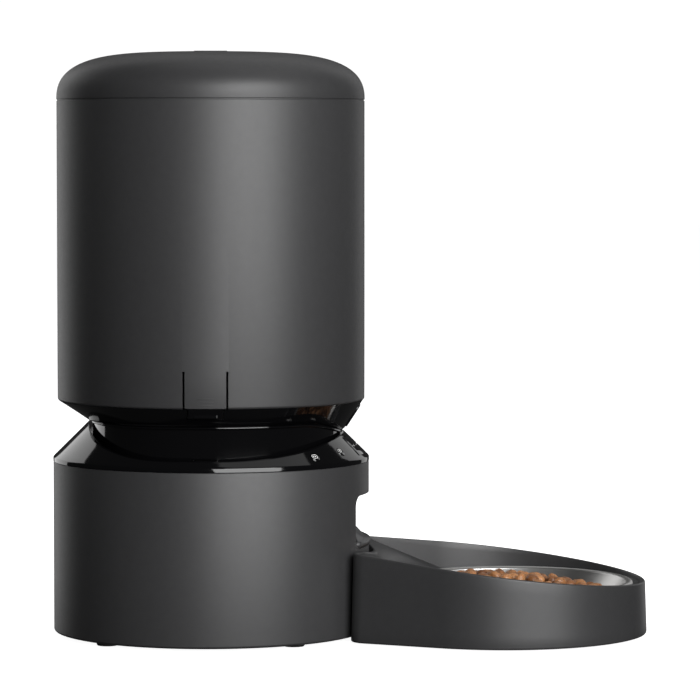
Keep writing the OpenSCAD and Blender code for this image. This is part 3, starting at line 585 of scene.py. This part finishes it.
def make_hopper_wall():
    ri = HOPPER_R - WALL
    top = shell_hi.z
    profile = [(ri, HOPPER_LOW)] + arc(HOPPER_R - 1.6 * MM, HOPPER_LOW + 1.6 * MM, 1.6 * MM, -90, 0, 6)
    profile += arc(HOPPER_R - 0.45 * MM, top - 0.45 * MM, 0.45 * MM, 0, 90, 3) + [(ri, top)]
    wall = lathe("hopper_wall", profile, around=2 * AROUND)
    half = LATCH_HALF + SLOT
    cutters = []
    for name, s in sides():
        lo, hi = sorted((s * 80 * MM, s * 100 * MM))
        cutters.append(block("c", (AXIS_X - half, lo, HOPPER_LOW - MM), (AXIS_X + half, hi, LATCH_TOP)))
        for x in (-1, 1):
            r = 0.9 * MM
            outline = arc(0, 0, r, 0, 360, 16)[:-1]
            turn = Matrix.Rotation(math.radians(90), 4, "X")
            spot = Matrix.Translation((AXIS_X + x * (half - SLOT / 2), hi, LATCH_TOP))
            cutters.append(prism("c", outline, 20 * MM, spot @ turn))
    carve(wall, cutters)
    place(wall, "hopper", matte_shell, "matte_shell", "hopper_shell")


def latch_strip(bm, s, x0, x1, z0, z1, inside, outside, edge, columns, top_flush=False):
    """A plate that follows the hopper's wall between x0 and x1, with rounded long edges."""
    rings = []
    for i in range(columns + 1):
        x = x0 + (x1 - x0) * i / columns
        end = edge if i in (0, columns) else 0
        face = outside - end
        corners = [(inside, z0, 0), (face, z0 + end, edge), (face, z1 - end, edge), (inside, z1, 0)]
        if top_flush:
            corners = [(inside, z0, 0), (outside, z0, 0.4 * MM), (outside, z1, 0), (inside, z1, 0)]
        ring = []
        for r, z in rounded(corners, 3):
            ring.append((AXIS_X + x, s * math.sqrt(r * r - x * x), z))
        rings.append(ring)
    rows = add_loft(bm, rings, True, False)
    bm.faces.new(rows[0][::-1])
    bm.faces.new(rows[-1])


PLATE_LOW = 144.7 * MM
GRIP_LOW = 146.6 * MM           # the lowest of the three grip ribs on a latch plate
GRIP_STEP = 1.9 * MM
TAB_SIDE = [(88.4, 138.3, 0.4), (90.2, 138.3, 0.7), (93.3, 144.7, 0.6),
            (93.3, 148, 0), (90.4, 148, 0), (90.4, 143, 0)]     # y, z and corner radius, in mm
HOOK_BOXES = [((-7, 79.5, 138.9), (7, 91.5, 141.3)), ((-7, 79.5, 110.6), (7, 81.3, 141)),
              ((-7, 79.5, 110.9), (7, 84.3, 113.4))]            # arm, stem and nose, in mm


def make_latches():
    for name, s in sides():
        body = "latch_" + name
        bm = bmesh.new()
        latch_strip(bm, s, -LATCH_HALF, LATCH_HALF, PLATE_LOW, LATCH_TOP, HOPPER_R - WALL, HOPPER_R,
                    0, 24, True)
        for k in range(3):
            z = GRIP_LOW + GRIP_STEP * k
            latch_strip(bm, s, -5 * MM, 5 * MM, z, z + 0.55 * MM, HOPPER_R - MM, HOPPER_R + 0.22 * MM,
                        0.15 * MM, 10)
        place(link("latch_plate_" + name, bm), body, matte_shell, "matte_shell", body)

        outline = rounded([(y * MM, z * MM, r * MM) for y, z, r in TAB_SIDE], 4)
        bm = bmesh.new()
        rings = [[(AXIS_X + x, s * y, z) for y, z in outline] for x in (-TAB_HALF, TAB_HALF)]
        rows = add_loft(bm, rings, True, False)
        bm.faces.new(rows[0][::-1])
        bm.faces.new(rows[1])
        for corners in HOOK_BOXES:
            add_box(bm, *[(AXIS_X + x * MM, s * y * MM, z * MM) for x, y, z in corners])
        tab = link("latch_tab_" + name, bm)
        soften(tab, 0.9 * MM, 40, 3)
        place(tab, body, gloss_black, "gloss_black", body)


def make_hopper_taper():
    gap = NECK_GAP
    turns = [TAU * (i + 0.5) / AROUND for i in range(AROUND)]
    outer = [outline_point(t, NECK_B, -gap) for t in turns]

    def ring(d, height):
        """Points at inset d from the neck; height takes the neck's own point."""
        inner = [outline_point(t, NECK_B, -gap - d) for t in turns]
        return [(AXIS_X + p.x, p.y, height(q)) for p, q in zip(inner, outer)]

    def turned(r, z):
        return [(AXIS_X + r * p.x / p.length, r * p.y / p.length, z) for p in outer]

    def toward(k, z):
        """From the neck's lower edge, a fraction k of the way to the top of the taper."""
        points = []
        for p in outer:
            r = p.length + (HOPPER_R - 0.9 * MM - p.length) * k
            low = waist_low(p)
            points.append((AXIS_X + r * p.x / p.length, r * p.y / p.length, low + (HOPPER_LOW - low) * k + z))
        return points

    inset = 1.3 * MM
    rings = [ring(2 * MM, lambda q: 110 * MM), ring(inset, lambda q: 110 * MM)]
    rings.append(ring(inset, lambda q: waist_low(q) - 1.3 * MM))
    rings.append(ring(inset - 0.1 * MM, lambda q: waist_low(q) - 0.8 * MM))
    for k in range(7):
        a = math.radians(-80 + 22 * k)
        dx = 0.75 * MM * (1 - math.cos(a))
        rings.append(ring(dx, lambda q, a=a: waist_low(q) + 0.1 * MM + 0.75 * MM * math.sin(a)))
    rings += [toward(k, 0.0) for k in (0.12, 0.3, 0.5, 0.7, 0.9)]
    rings += [turned(HOPPER_R - 0.9 * MM, HOPPER_LOW), turned(HOPPER_R - 3.4 * MM, HOPPER_LOW)]
    rings += [ring(2.4 * MM, lambda q: waist_low(q) + 0.9 * MM), ring(2.4 * MM, lambda q: 110 * MM)]
    taper = loft("hopper_taper", rings)
    cutters = []
    for name, s in sides():
        lo, hi = sorted((s * 78 * MM, s * 98 * MM))
        half = TAB_HALF + 0.5 * MM
        cutters.append(block("c", (AXIS_X - half, lo, 137.9 * MM), (AXIS_X + half, hi, 158 * MM)))
        cutters.append(block("c", (AXIS_X - 8 * MM, lo, 109 * MM), (AXIS_X + 8 * MM, hi, 114 * MM)))
    cutters.append(window_solid("c", 0.15 * MM))
    carve(taper, cutters, 32)
    place(taper, "hopper", gloss_black, "gloss_black", "hopper_waist")


def window_solid(name, grow):
    """The smoked window in the front of the taper, as a rounded slab."""
    x0, z0 = NECK_X + NECK_A - NECK_GAP, WAIST_Z - WAIST_DIP
    x1, z1 = HOPPER_R - 0.9 * MM, HOPPER_LOW
    lean = math.atan2(x1 - x0, z1 - z0)
    middle = Matrix.Translation((AXIS_X + (x0 + x1) / 2 - 0.1 * MM, 0, (z0 + z1) / 2))
    turn = Matrix.Rotation(math.pi / 2 + lean, 4, "Y")
    down = Matrix.Translation((0, 0, -0.8 * MM - grow))
    outline = rounded_rect(15.6 * MM + 2 * grow, 18 * MM + 2 * grow, 3 * MM + grow)
    return prism(name, outline, 1.4 * MM + 2 * grow, middle @ turn @ down)


# ---------- base ----------
KEY_ANGLES = {"key_left_outer": -46, "key_left_inner": -29.3, "key_right_inner": 29.3, "key_right_outer": 46}


def key_radius(degrees):
    return (lip_radius(degrees) + COLLAR_R) / 2 + 0.8 * MM


def make_collar():
    turns = [TAU * (i + 0.5) / (2 * AROUND) for i in range(2 * AROUND)]
    lip = [outline_point(t, LIP_B) for t in turns]
    low = 107.12 * MM

    def ring(dr, z=None, drop=0.0):
        """Set back from the lip by dr; on the cone unless z is given."""
        points = []
        for p in lip:
            r = p.length + dr
            height = cone_height(r) - drop if z is None else z
            points.append((AXIS_X + r * p.x / p.length, r * p.y / p.length, height))
        return points

    def cone(r, z):
        return [(AXIS_X + r * p.x / p.length, r * p.y / p.length, z) for p in lip]

    def between(k):
        points = []
        for p in lip:
            r = (p.length + 0.9 * MM) * (1 - k) + (COLLAR_R - 0.5 * MM) * k
            points.append((AXIS_X + r * p.x / p.length, r * p.y / p.length, cone_height(r)))
        return points

    lip_edge = [(0, 1.2), (0.02, 0.75), (0.12, 0.42), (0.3, 0.2), (0.55, 0.06), (0.9, 0)]
    rings = [ring(0, low)] + [ring(dr * MM, None, drop * MM) for dr, drop in lip_edge]
    rings += [between(k / 6) for k in range(1, 7)]
    rings += [cone(COLLAR_R - 0.18 * MM, CONE_Z + 0.1 * MM), cone(COLLAR_R, CONE_Z - 0.25 * MM)]
    rings += [cone(COLLAR_R, low + 0.25 * MM), cone(COLLAR_R - 0.25 * MM, low)]
    rings += [cone(COLLAR_R - 2.4 * MM, low), cone(COLLAR_R - 2.4 * MM, CONE_Z - MM)]
    rings += [ring(1.6 * MM, None, 3.4 * MM), ring(1.2 * MM, None, 3.6 * MM), ring(1.2 * MM, low)]
    collar = loft("collar_ring", rings)
    cutters = [lens_cutter()]
    for angle in KEY_ANGLES.values():
        outline = arc(0, 0, 3.15 * MM, 0, 360, 48)[:-1]
        cutters.append(prism("c", outline, 6 * MM, on_slope(angle, key_radius(angle), -3 * MM)))
    carve(collar, cutters, 32)
    place(collar, "base", gloss_black, "gloss_black", "control_collar")


def lens_cutter():
    """The recess that the display lens sits in."""
    low, high, half = -0.85 * MM, 3 * MM, math.radians(17.15)
    s, c = math.sin(CONE_ANGLE), math.cos(CONE_ANGLE)
    inner, outer = 84 * MM - 0.15 * MM, 94.6 * MM + 0.15 * MM
    flat = [(inner, low), (outer, low), (outer, high), (inner, high)]
    section = [(r + h * s, cone_height(r) + h * c) for r, h in flat]
    bm = bmesh.new()
    rings = []
    for i in range(41):
        t = half * (i / 20 - 1)
        rings.append([(AXIS_X + r * math.cos(t), r * math.sin(t), z) for r, z in section])
    rows = add_loft(bm, rings, True, False)
    bm.faces.new(rows[0][::-1])
    bm.faces.new(rows[-1])
    return link("c", bm)


def mark(bm, matrix, outline, hole=None, thick=0.05 * MM):
    """A thin raised print: an outline, or the band between it and a smaller one of as many points."""
    if hole is None:
        low = [bm.verts.new(matrix @ Vector((x, y, 0))) for x, y in outline]
        high = [bm.verts.new(matrix @ Vector((x, y, thick))) for x, y in outline]
        bm.faces.new(high)
        for i in range(len(low)):
            k = (i + 1) % len(low)
            bm.faces.new([low[i], low[k], high[k], high[i]])
        return
    edges = [(outline, 0), (outline, thick), (hole, thick), (hole, 0)]
    rings = [[matrix @ Vector((x, y, z)) for x, y in line] for line, z in edges]
    add_loft(bm, rings, True, True)


KEY_MARK_INSET = 0.7 * MM        # a key's print sits a little above the key's middle
OUTER_KEYS = ("key_left_outer", "key_right_outer")
LENS_MARK_R = 89.3 * MM
LENS_MARKS = [(-13.5, 0.5, 2.0), (-11.2, 1.3, 0.5), (-4.5, 0.5, 2.6),
              (0, 2.2, 2.2), (4.5, 0.5, 2.6), (11.2, 1.3, 0.5)]     # angle, width and length in mm


def make_marks():
    """Generic white prints: a ring with dots or a bar on each key, and small dots and bars on the lens."""
    for body, angle in KEY_ANGLES.items():
        bm = bmesh.new()
        spot = on_slope(angle, key_radius(angle) - KEY_MARK_INSET, 0.1 * MM)
        if body in OUTER_KEYS:
            outer = rounded_rect(3.0 * MM, 4.4 * MM, 1.45 * MM)
            mark(bm, spot, outer, rounded_rect(2.4 * MM, 3.8 * MM, 1.15 * MM))
            for y in (-0.75, 0.75):
                mark(bm, spot @ Matrix.Translation((0, y * MM, 0)), arc(0, 0, 0.42 * MM, 0, 360, 16)[:-1])
        else:
            outer = rounded_rect(2.5 * MM, 3.9 * MM, 1.2 * MM)
            mark(bm, spot, outer, rounded_rect(1.95 * MM, 3.35 * MM, 0.95 * MM))
            mark(bm, spot, rounded_rect(0.5 * MM, 1.7 * MM, 0.2 * MM))
        place(link("mark_" + body, bm), body, mark_white, "white_plastic")
    bm = bmesh.new()
    for angle, w, l in LENS_MARKS:
        spot = on_slope(angle, LENS_MARK_R, 0.05 * MM)
        if w == l:
            outer, inner = (arc(0, 0, r * MM, 0, 360, 24)[:-1] for r in (w / 2, w / 2 - 0.3))
            mark(bm, spot, outer, inner)
        else:
            mark(bm, spot, rounded_rect(w * MM, l * MM, min(w, l) * 0.4 * MM))
    place(link("lens_marks", bm), "base", mark_white, "white_plastic")


def yz_prism(name, outline, x0, x1):
    """An extrusion along X of an outline given in y and z."""
    matrix = Matrix(((0, 0, 1, x0), (1, 0, 0, 0), (0, 1, 0, 0), (0, 0, 0, 1)))
    return prism(name, outline, x1 - x0, matrix)


def make_base_wall():
    ri = BASE_R - WALL
    low, high = base_lo.z + 0.5 * MM, base_hi.z
    profile = [(ri, low)] + arc(BASE_R - 1.6 * MM, low + 1.6 * MM, 1.6 * MM, -90, 0, 8)
    profile += arc(BASE_R - 0.5 * MM, high - 0.5 * MM, 0.5 * MM, 0, 90, 3) + [(ri, high)]
    wall = lathe("base_wall", profile, around=2 * AROUND)
    y, z0, z1, r = 38.5 * MM, 55.5 * MM, 87.8 * MM, 6.5 * MM
    outline = rounded([(-y, z0, r), (y, z0, r), (y, z1, r), (-y, z1, r)], 8)
    cutters = [yz_prism("c", outline, AXIS_X + 70 * MM, AXIS_X + 100 * MM)]
    power_low, power_high = (AXIS_X - 100 * MM, -5.6 * MM, 14.4 * MM), (AXIS_X - 86 * MM, 5.6 * MM, 20 * MM)
    cutters.append(block("c", power_low, power_high))
    for name, s in sides():
        lo, hi = sorted((s * 24 * MM, s * 36 * MM))
        cutters.append(block("c", (AXIS_X + 80 * MM, lo, 21.6 * MM), (AXIS_X + 100 * MM, hi, 25.4 * MM)))
    carve(wall, cutters)
    place(wall, "base", matte_shell, "matte_shell", "base_shell")


# ---------- tray and bowl ----------
TRAY_X = AXIS_X + 177.3 * MM          # centre of the tray's round front
TRAY_R = tray_hi.x - TRAY_X
SIDE_ANGLE = 25.2
REAR_R = BASE_R + 1.5 * MM
REAR_CORNER = 10 * MM
POCKET_R = 72 * MM
POCKET_Z = 6 * MM
LEDGE_Z = 30.75 * MM
LEDGE_R = 76 * MM


def rear_corner(d):
    """Centre of the tray's rounded rear corner, from the body's axis, for a wall set in by d."""
    s, c = math.sin(math.radians(SIDE_ANGLE)), math.cos(math.radians(SIDE_ANGLE))
    r, k, x = TRAY_R - d, REAR_CORNER, TRAY_X - AXIS_X
    px, py = x - r * s + k * s, r * c - k * c
    b = px * c + py * s
    q = px * px + py * py - (REAR_R + d + k) ** 2
    t = b - math.sqrt(b * b - q)
    return px - t * c, py - t * s


def tray_outline(d):
    """Points round the tray, set in by d, starting at the middle of the back."""
    px, py = rear_corner(d)
    a = 90 + SIDE_ANGLE
    b = math.degrees(math.atan2(py, px))
    front = arc(TRAY_X - AXIS_X, 0, TRAY_R - d, -a, a, 180)
    left = arc(px, py, REAR_CORNER, a, 180 + b, 18)
    back = arc(0, 0, REAR_R + d, b, -b, 64)[1:-1]
    right = arc(px, -py, REAR_CORNER, 180 - b, 360 - a, 18)
    steps = 24
    side_l = [tuple(Vector(front[-1]).lerp(Vector(left[0]), k / steps)) for k in range(1, steps)]
    side_r = [tuple(Vector(right[-1]).lerp(Vector(front[0]), k / steps)) for k in range(1, steps)]
    return [(AXIS_X + x, y) for x, y in front + side_l + left + back + right + side_r]


def rim_height(x):
    return 44 * MM - 0.12 * (x - TRAY_X)


def slide_height(x):
    return 52.9 * MM - 0.456 * (x - AXIS_X - 95.7 * MM)


def smooth_max(a, b, k):
    h = min(1.0, max(0.0, 0.5 + (a - b) / (2 * k)))
    return b + (a - b) * h + k * h * (1 - h)


def floor_height(x, y):
    near = max(0.0, 1 - (math.hypot(x - BOWL_X, y) - LEDGE_R) / (16 * MM))
    return min(rim_height(x) - 0.4 * MM, smooth_max(slide_height(x) - 5 * MM * near ** 3, LEDGE_Z, 0.7 * MM))


def top_height(x, y):
    """The rim's height: it dips to the slide in the middle of the back."""
    rim = rim_height(x)
    if x > AXIS_X + 105 * MM:
        return rim
    edge = min(1.0, max(0.0, (abs(y) - 22 * MM) / (30 * MM)))
    edge = edge * edge * (3 - 2 * edge)
    return rim * edge + min(rim, slide_height(x) + 0.5 * MM) * (1 - edge)


def make_tray():
    def ring(d, height):
        return [(x, y, height(x, y)) for x, y in tray_outline(d)]

    def toward(d, k, radius, height):
        """A fraction k of the way from the outline set in by d to a circle round the bowl."""
        points = []
        for x, y in tray_outline(d):
            v = Vector((x - BOWL_X, y))
            r = v.length * (1 - k) + radius * k
            v = v.normalized() * r
            points.append((BOWL_X + v.x, v.y, height(BOWL_X + v.x, v.y)))
        return points

    def disc(r, z):
        return toward(0.0, 1.0, max(r, 1e-6), lambda x, y: z)

    def below_top(drop):
        """A height function: the rim's height less drop."""
        return lambda x, y: top_height(x, y) - drop

    def above_floor(drop, least):
        """A height function: the tray's floor less drop, but at least so high."""
        return lambda x, y: max(least, floor_height(x, y) - drop)

    def slope(x, y):
        return min(floor_height(x, y), top_height(x, y) - 0.4 * MM)

    low = tray_lo.z
    under = 28.15 * MM               # underside of the floor round the bowl's pocket
    draft = 1.1 * MM                 # how far the outer wall leans in from foot to rim
    rim_w = 3.4 * MM
    rim_round = 0.9 * MM
    inner_top = 0.35 * MM            # drop of the rim's inner edge
    rings = [disc(0, 3.4 * MM), disc(69.4 * MM, 3.4 * MM), disc(69.4 * MM, low + 0.3 * MM)]
    rings += [disc(69.8 * MM, low), disc(74.2 * MM, low), disc(74.6 * MM, low + 0.3 * MM)]
    rings.append(disc(74.6 * MM, under))
    foot = [(2.8, under), (2.8, low), (1.2, low), (0.55, low + 0.2 * MM), (0.15, low + 0.65 * MM),
            (0.02, low + 1.3 * MM)]
    rings += [ring(d * MM, lambda x, y, z=z: z) for d, z in foot]
    for k in (0.2, 0.4, 0.6, 0.8):
        rings.append(ring(draft * k, lambda x, y, k=k: low + (top_height(x, y) - low) * k))
    rings.append(ring(draft * 0.97, below_top(1.1 * MM)))
    for k in range(1, 6):
        a = math.radians(18 * k)
        rings.append(ring(draft + rim_round * (1 - math.cos(a)), below_top(rim_round * (1 - math.sin(a)))))
    rings.append(ring(rim_w - 0.35 * MM, below_top(0.02 * MM)))
    rings.append(ring(rim_w - 0.1 * MM, below_top(0.12 * MM)))
    rings.append(ring(rim_w, below_top(inner_top)))
    for k in (0.25, 0.5, 0.75, 0.92):
        rings.append(ring(rim_w + 0.5 * MM * k,
                          lambda x, y, k=k: (top_height(x, y) - inner_top) * (1 - k) + slope(x, y) * k))
    rings += [toward(rim_w + 0.55 * MM, k / 32 * 0.985, LEDGE_R + 0.4 * MM, slope) for k in range(33)]
    rings.append(toward(rim_w, 1.0, LEDGE_R + 0.12 * MM, above_floor(0.12 * MM, LEDGE_Z)))
    rings.append(toward(rim_w, 1.0, LEDGE_R, above_floor(0.45 * MM, LEDGE_Z - 0.001 * MM)))
    ledge = LEDGE_Z - 0.01 * MM
    rings += [disc(LEDGE_R - 0.01 * MM, ledge), disc(POCKET_R + 0.4 * MM, ledge)]
    rings.append(disc(POCKET_R, LEDGE_Z - 0.4 * MM))
    rings += [disc(POCKET_R, POCKET_Z + 0.5 * MM), disc(POCKET_R - 0.5 * MM, POCKET_Z), disc(0, POCKET_Z)]
    bm = bmesh.new()
    add_loft(bm, rings, True, False)
    bmesh.ops.remove_doubles(bm, verts=bm.verts, dist=4e-6)
    bmesh.ops.delete(bm, geom=[f for f in bm.faces if f.calc_area() < 1e-14], context="FACES_ONLY")
    for name, s in sides():
        middle = s * 30 * MM
        corners = [(AXIS_X + 85 * MM, middle - 5.5 * MM, 22 * MM), (AXIS_X + 99 * MM, middle + 5.5 * MM, 25 * MM)]
        add_box(bm, *corners)
    tray = link("tray_body", bm, 40)
    place(tray, "tray", tray_matte, "matte_shell", "tray_shell")


def make_bowl():
    t = 0.9 * MM
    rim_r = bowl_hi.x - BOWL_X
    rim_z = bowl_hi.z
    roll = 2.5 * MM
    corner = (48 * MM, POCKET_Z + 9.6 * MM)
    cx, cz = rim_r - roll, rim_z - roll
    profile = [(0, corner[1] - 9 * MM)] + arc(corner[0], corner[1], 9 * MM, -90, -25, 14)
    profile += arc(cx, cz, roll - t, 165, 0, 16) + arc(cx, cz, roll, 0, 165, 24)
    profile += arc(corner[0], corner[1], 9 * MM - t, -25, -90, 14) + [(0, corner[1] - 9 * MM + t)]
    place(lathe("bowl_dish", profile, BOWL_X, closed=False), "bowl", bowl_steel, "bowl_steel", "bowl")


def heap(x, y):
    """Height of the food's surface."""
    dx, dy = (x - AXIS_X) / MM - 174, y / MM
    return (36.0 - 0.0021 * (dx * dx + dy * dy)) * MM


def make_kibble():
    """Loose oval kibbles heaped in the bowl over a hidden sheet in the darkest kibble tone, painted shade that
    shows in the gaps between pieces.
    """
    pick = random.Random(11)
    rng = np.random.default_rng(11)
    count = 300
    spacing = 8.5 * MM
    radius = 66 * MM
    spots = []
    while len(spots) < count:
        x, y = rng.uniform(-radius, radius, 2)
        if math.hypot(x, y) < radius:
            spots.append((BOWL_X + x, y))
    p = np.array([(x, y, heap(x, y) - rng.uniform(0.0, 8.0) * MM) for x, y in spots])
    lift = rng.uniform(-1.2, 1.6, count) * MM
    for _ in range(120):
        gap = p[:, None, :] - p[None, :, :]
        far = np.linalg.norm(gap, axis=2) + np.eye(count)
        push = np.clip(spacing - far, 0, None) * 0.28
        np.fill_diagonal(push, 0)
        p += (gap / far[..., None] * push[..., None]).sum(axis=1)
        flat = p[:, :2] - np.array([BOWL_X, 0])
        out = np.linalg.norm(flat, axis=1)
        low = np.clip((p[:, 2] - 14 * MM) / (19 * MM), 0, 1)
        limit = (57 + 7.5 * low) * MM
        flat *= np.minimum(1, limit / out)[:, None]
        p[:, :2] = flat + np.array([BOWL_X, 0])
        top = np.array([heap(x, y) for x, y in p[:, :2]]) + lift
        p[:, 2] = np.clip(p[:, 2], top - 9 * MM, top - 2.4 * MM)

    bm = bmesh.new()
    tones = []
    ball = bmesh.new()
    bmesh.ops.create_icosphere(ball, subdivisions=3, radius=1)
    base = [v.co.copy() for v in ball.verts]
    faces = [[v.index for v in f.verts] for f in ball.faces]
    ball.free()
    for x, y, z in p:
        size = Vector((pick.uniform(4.4, 5.1), pick.uniform(3.6, 4.2), pick.uniform(3.0, 3.4))) * MM
        spin, roll, pitch = pick.uniform(0, TAU), pick.gauss(0, 0.45), pick.gauss(0, 0.45)
        turn = Matrix.Rotation(spin, 3, "Z") @ Matrix.Rotation(roll, 3, "X") @ Matrix.Rotation(pitch, 3, "Y")
        wave = [Vector([pick.uniform(-1, 1) for _ in range(3)]).normalized() for _ in range(4)]
        tone = pick.random()
        verts = []
        for c in base:
            bulge = 1 + 0.035 * sum(math.sin(3.1 * c.dot(w) + 5 * k) for k, w in enumerate(wave))
            local = Vector((c.x * size.x, c.y * size.y, c.z * size.z)) * bulge
            verts.append(bm.verts.new(turn @ local + Vector((x, y, z))))
            tones.append(tone)
        for f in faces:
            bm.faces.new([verts[i] for i in f])
    # A sheet under the kibble in the darkest tone (0.0): painted shade for the gaps between pieces.
    shade_filler = []
    for i in range(12):
        r = 61 * MM * i / 11
        edge = max(r, 1e-6)
        turns = [TAU * k / 64 for k in range(64)]
        tops = [min(heap(BOWL_X + r * math.cos(t), r * math.sin(t)) - 6 * MM, 31 * MM) for t in turns]
        shade_filler.append([(BOWL_X + edge * math.cos(t), edge * math.sin(t), z) for t, z in zip(turns, tops)])
    start = len(bm.verts)
    add_loft(bm, shade_filler, True, False)
    # The sheet takes tone 0.0, the darkest kibble colour, as painted shade.
    tones += [0.0] * (len(bm.verts) - start)
    bm.normal_update()
    mesh = bpy.data.meshes.new("kibble")
    bm.to_mesh(mesh)
    bm.free()
    layer = mesh.attributes.new("tone", "FLOAT", "POINT")
    layer.data.foreach_set("value", tones)
    food = bpy.data.objects.new("kibble", mesh)
    bpy.context.scene.collection.objects.link(food)
    mesh.polygons.foreach_set("use_smooth", [True] * len(mesh.polygons))
    place(food, "bowl", kibble_skin, "white_plastic")


def make_bag():
    """The desiccant bag: a soft pillow with flat sealed edges."""
    lo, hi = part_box("desiccant_bag")
    centre = (lo + hi) / 2
    half = (hi - lo) / 2
    n = 44
    seam = 0.10
    rows = {}
    bm = bmesh.new()
    for side in (1, -1):
        for i in range(n + 1):
            for j in range(n + 1):
                u, v = 2 * i / n - 1, 2 * j / n - 1
                edge = max(abs(u), abs(v))
                fill = 0.0
                if edge < 1 - seam:
                    a, b = u / (1 - seam), v / (1 - seam)
                    fill = ((1 - a * a) * (1 - b * b)) ** 0.42
                lump = 1 + 0.05 * math.sin(7 * u + 3 * v) * math.cos(5 * v - 2 * u)
                pucker = 0.025 * math.sin(26 * (u + v)) * (1 - fill) * (edge > 0.6)
                z = side * (0.07 + 0.88 * fill * lump + pucker * 0.4) * half.z
                rows[side, i, j] = bm.verts.new((centre.x + u * half.x, centre.y + v * half.y, centre.z + z))
        for i in range(n):
            for j in range(n):
                corners = [(i, j), (i + 1, j), (i + 1, j + 1), (i, j + 1)]
                quad = [rows[side, a, b] for a, b in corners]
                bm.faces.new(quad if side > 0 else quad[::-1])
    for i in range(n):
        for a, b in [((i, 0), (i + 1, 0)), ((n, i), (n, i + 1)), ((i + 1, n), (i, n)), ((0, i + 1), (0, i))]:
            bm.faces.new([rows[1, *a], rows[-1, *a], rows[-1, *b], rows[1, *b]])
    bag = link("desiccant_pillow", bm, 60)
    place(bag, "lid", bag_cloth, "bag_paper", "desiccant_bag")


make_camera()
make_world()
for panel in PANELS:
    area_light(*panel)
make_floor()
make_lid_cover()
make_hopper_wall()
make_latches()
make_hopper_taper()
make_collar()
make_marks()
make_base_wall()
make_tray()
make_bowl()
make_kibble()
make_bag()
finish_cad_nodes()
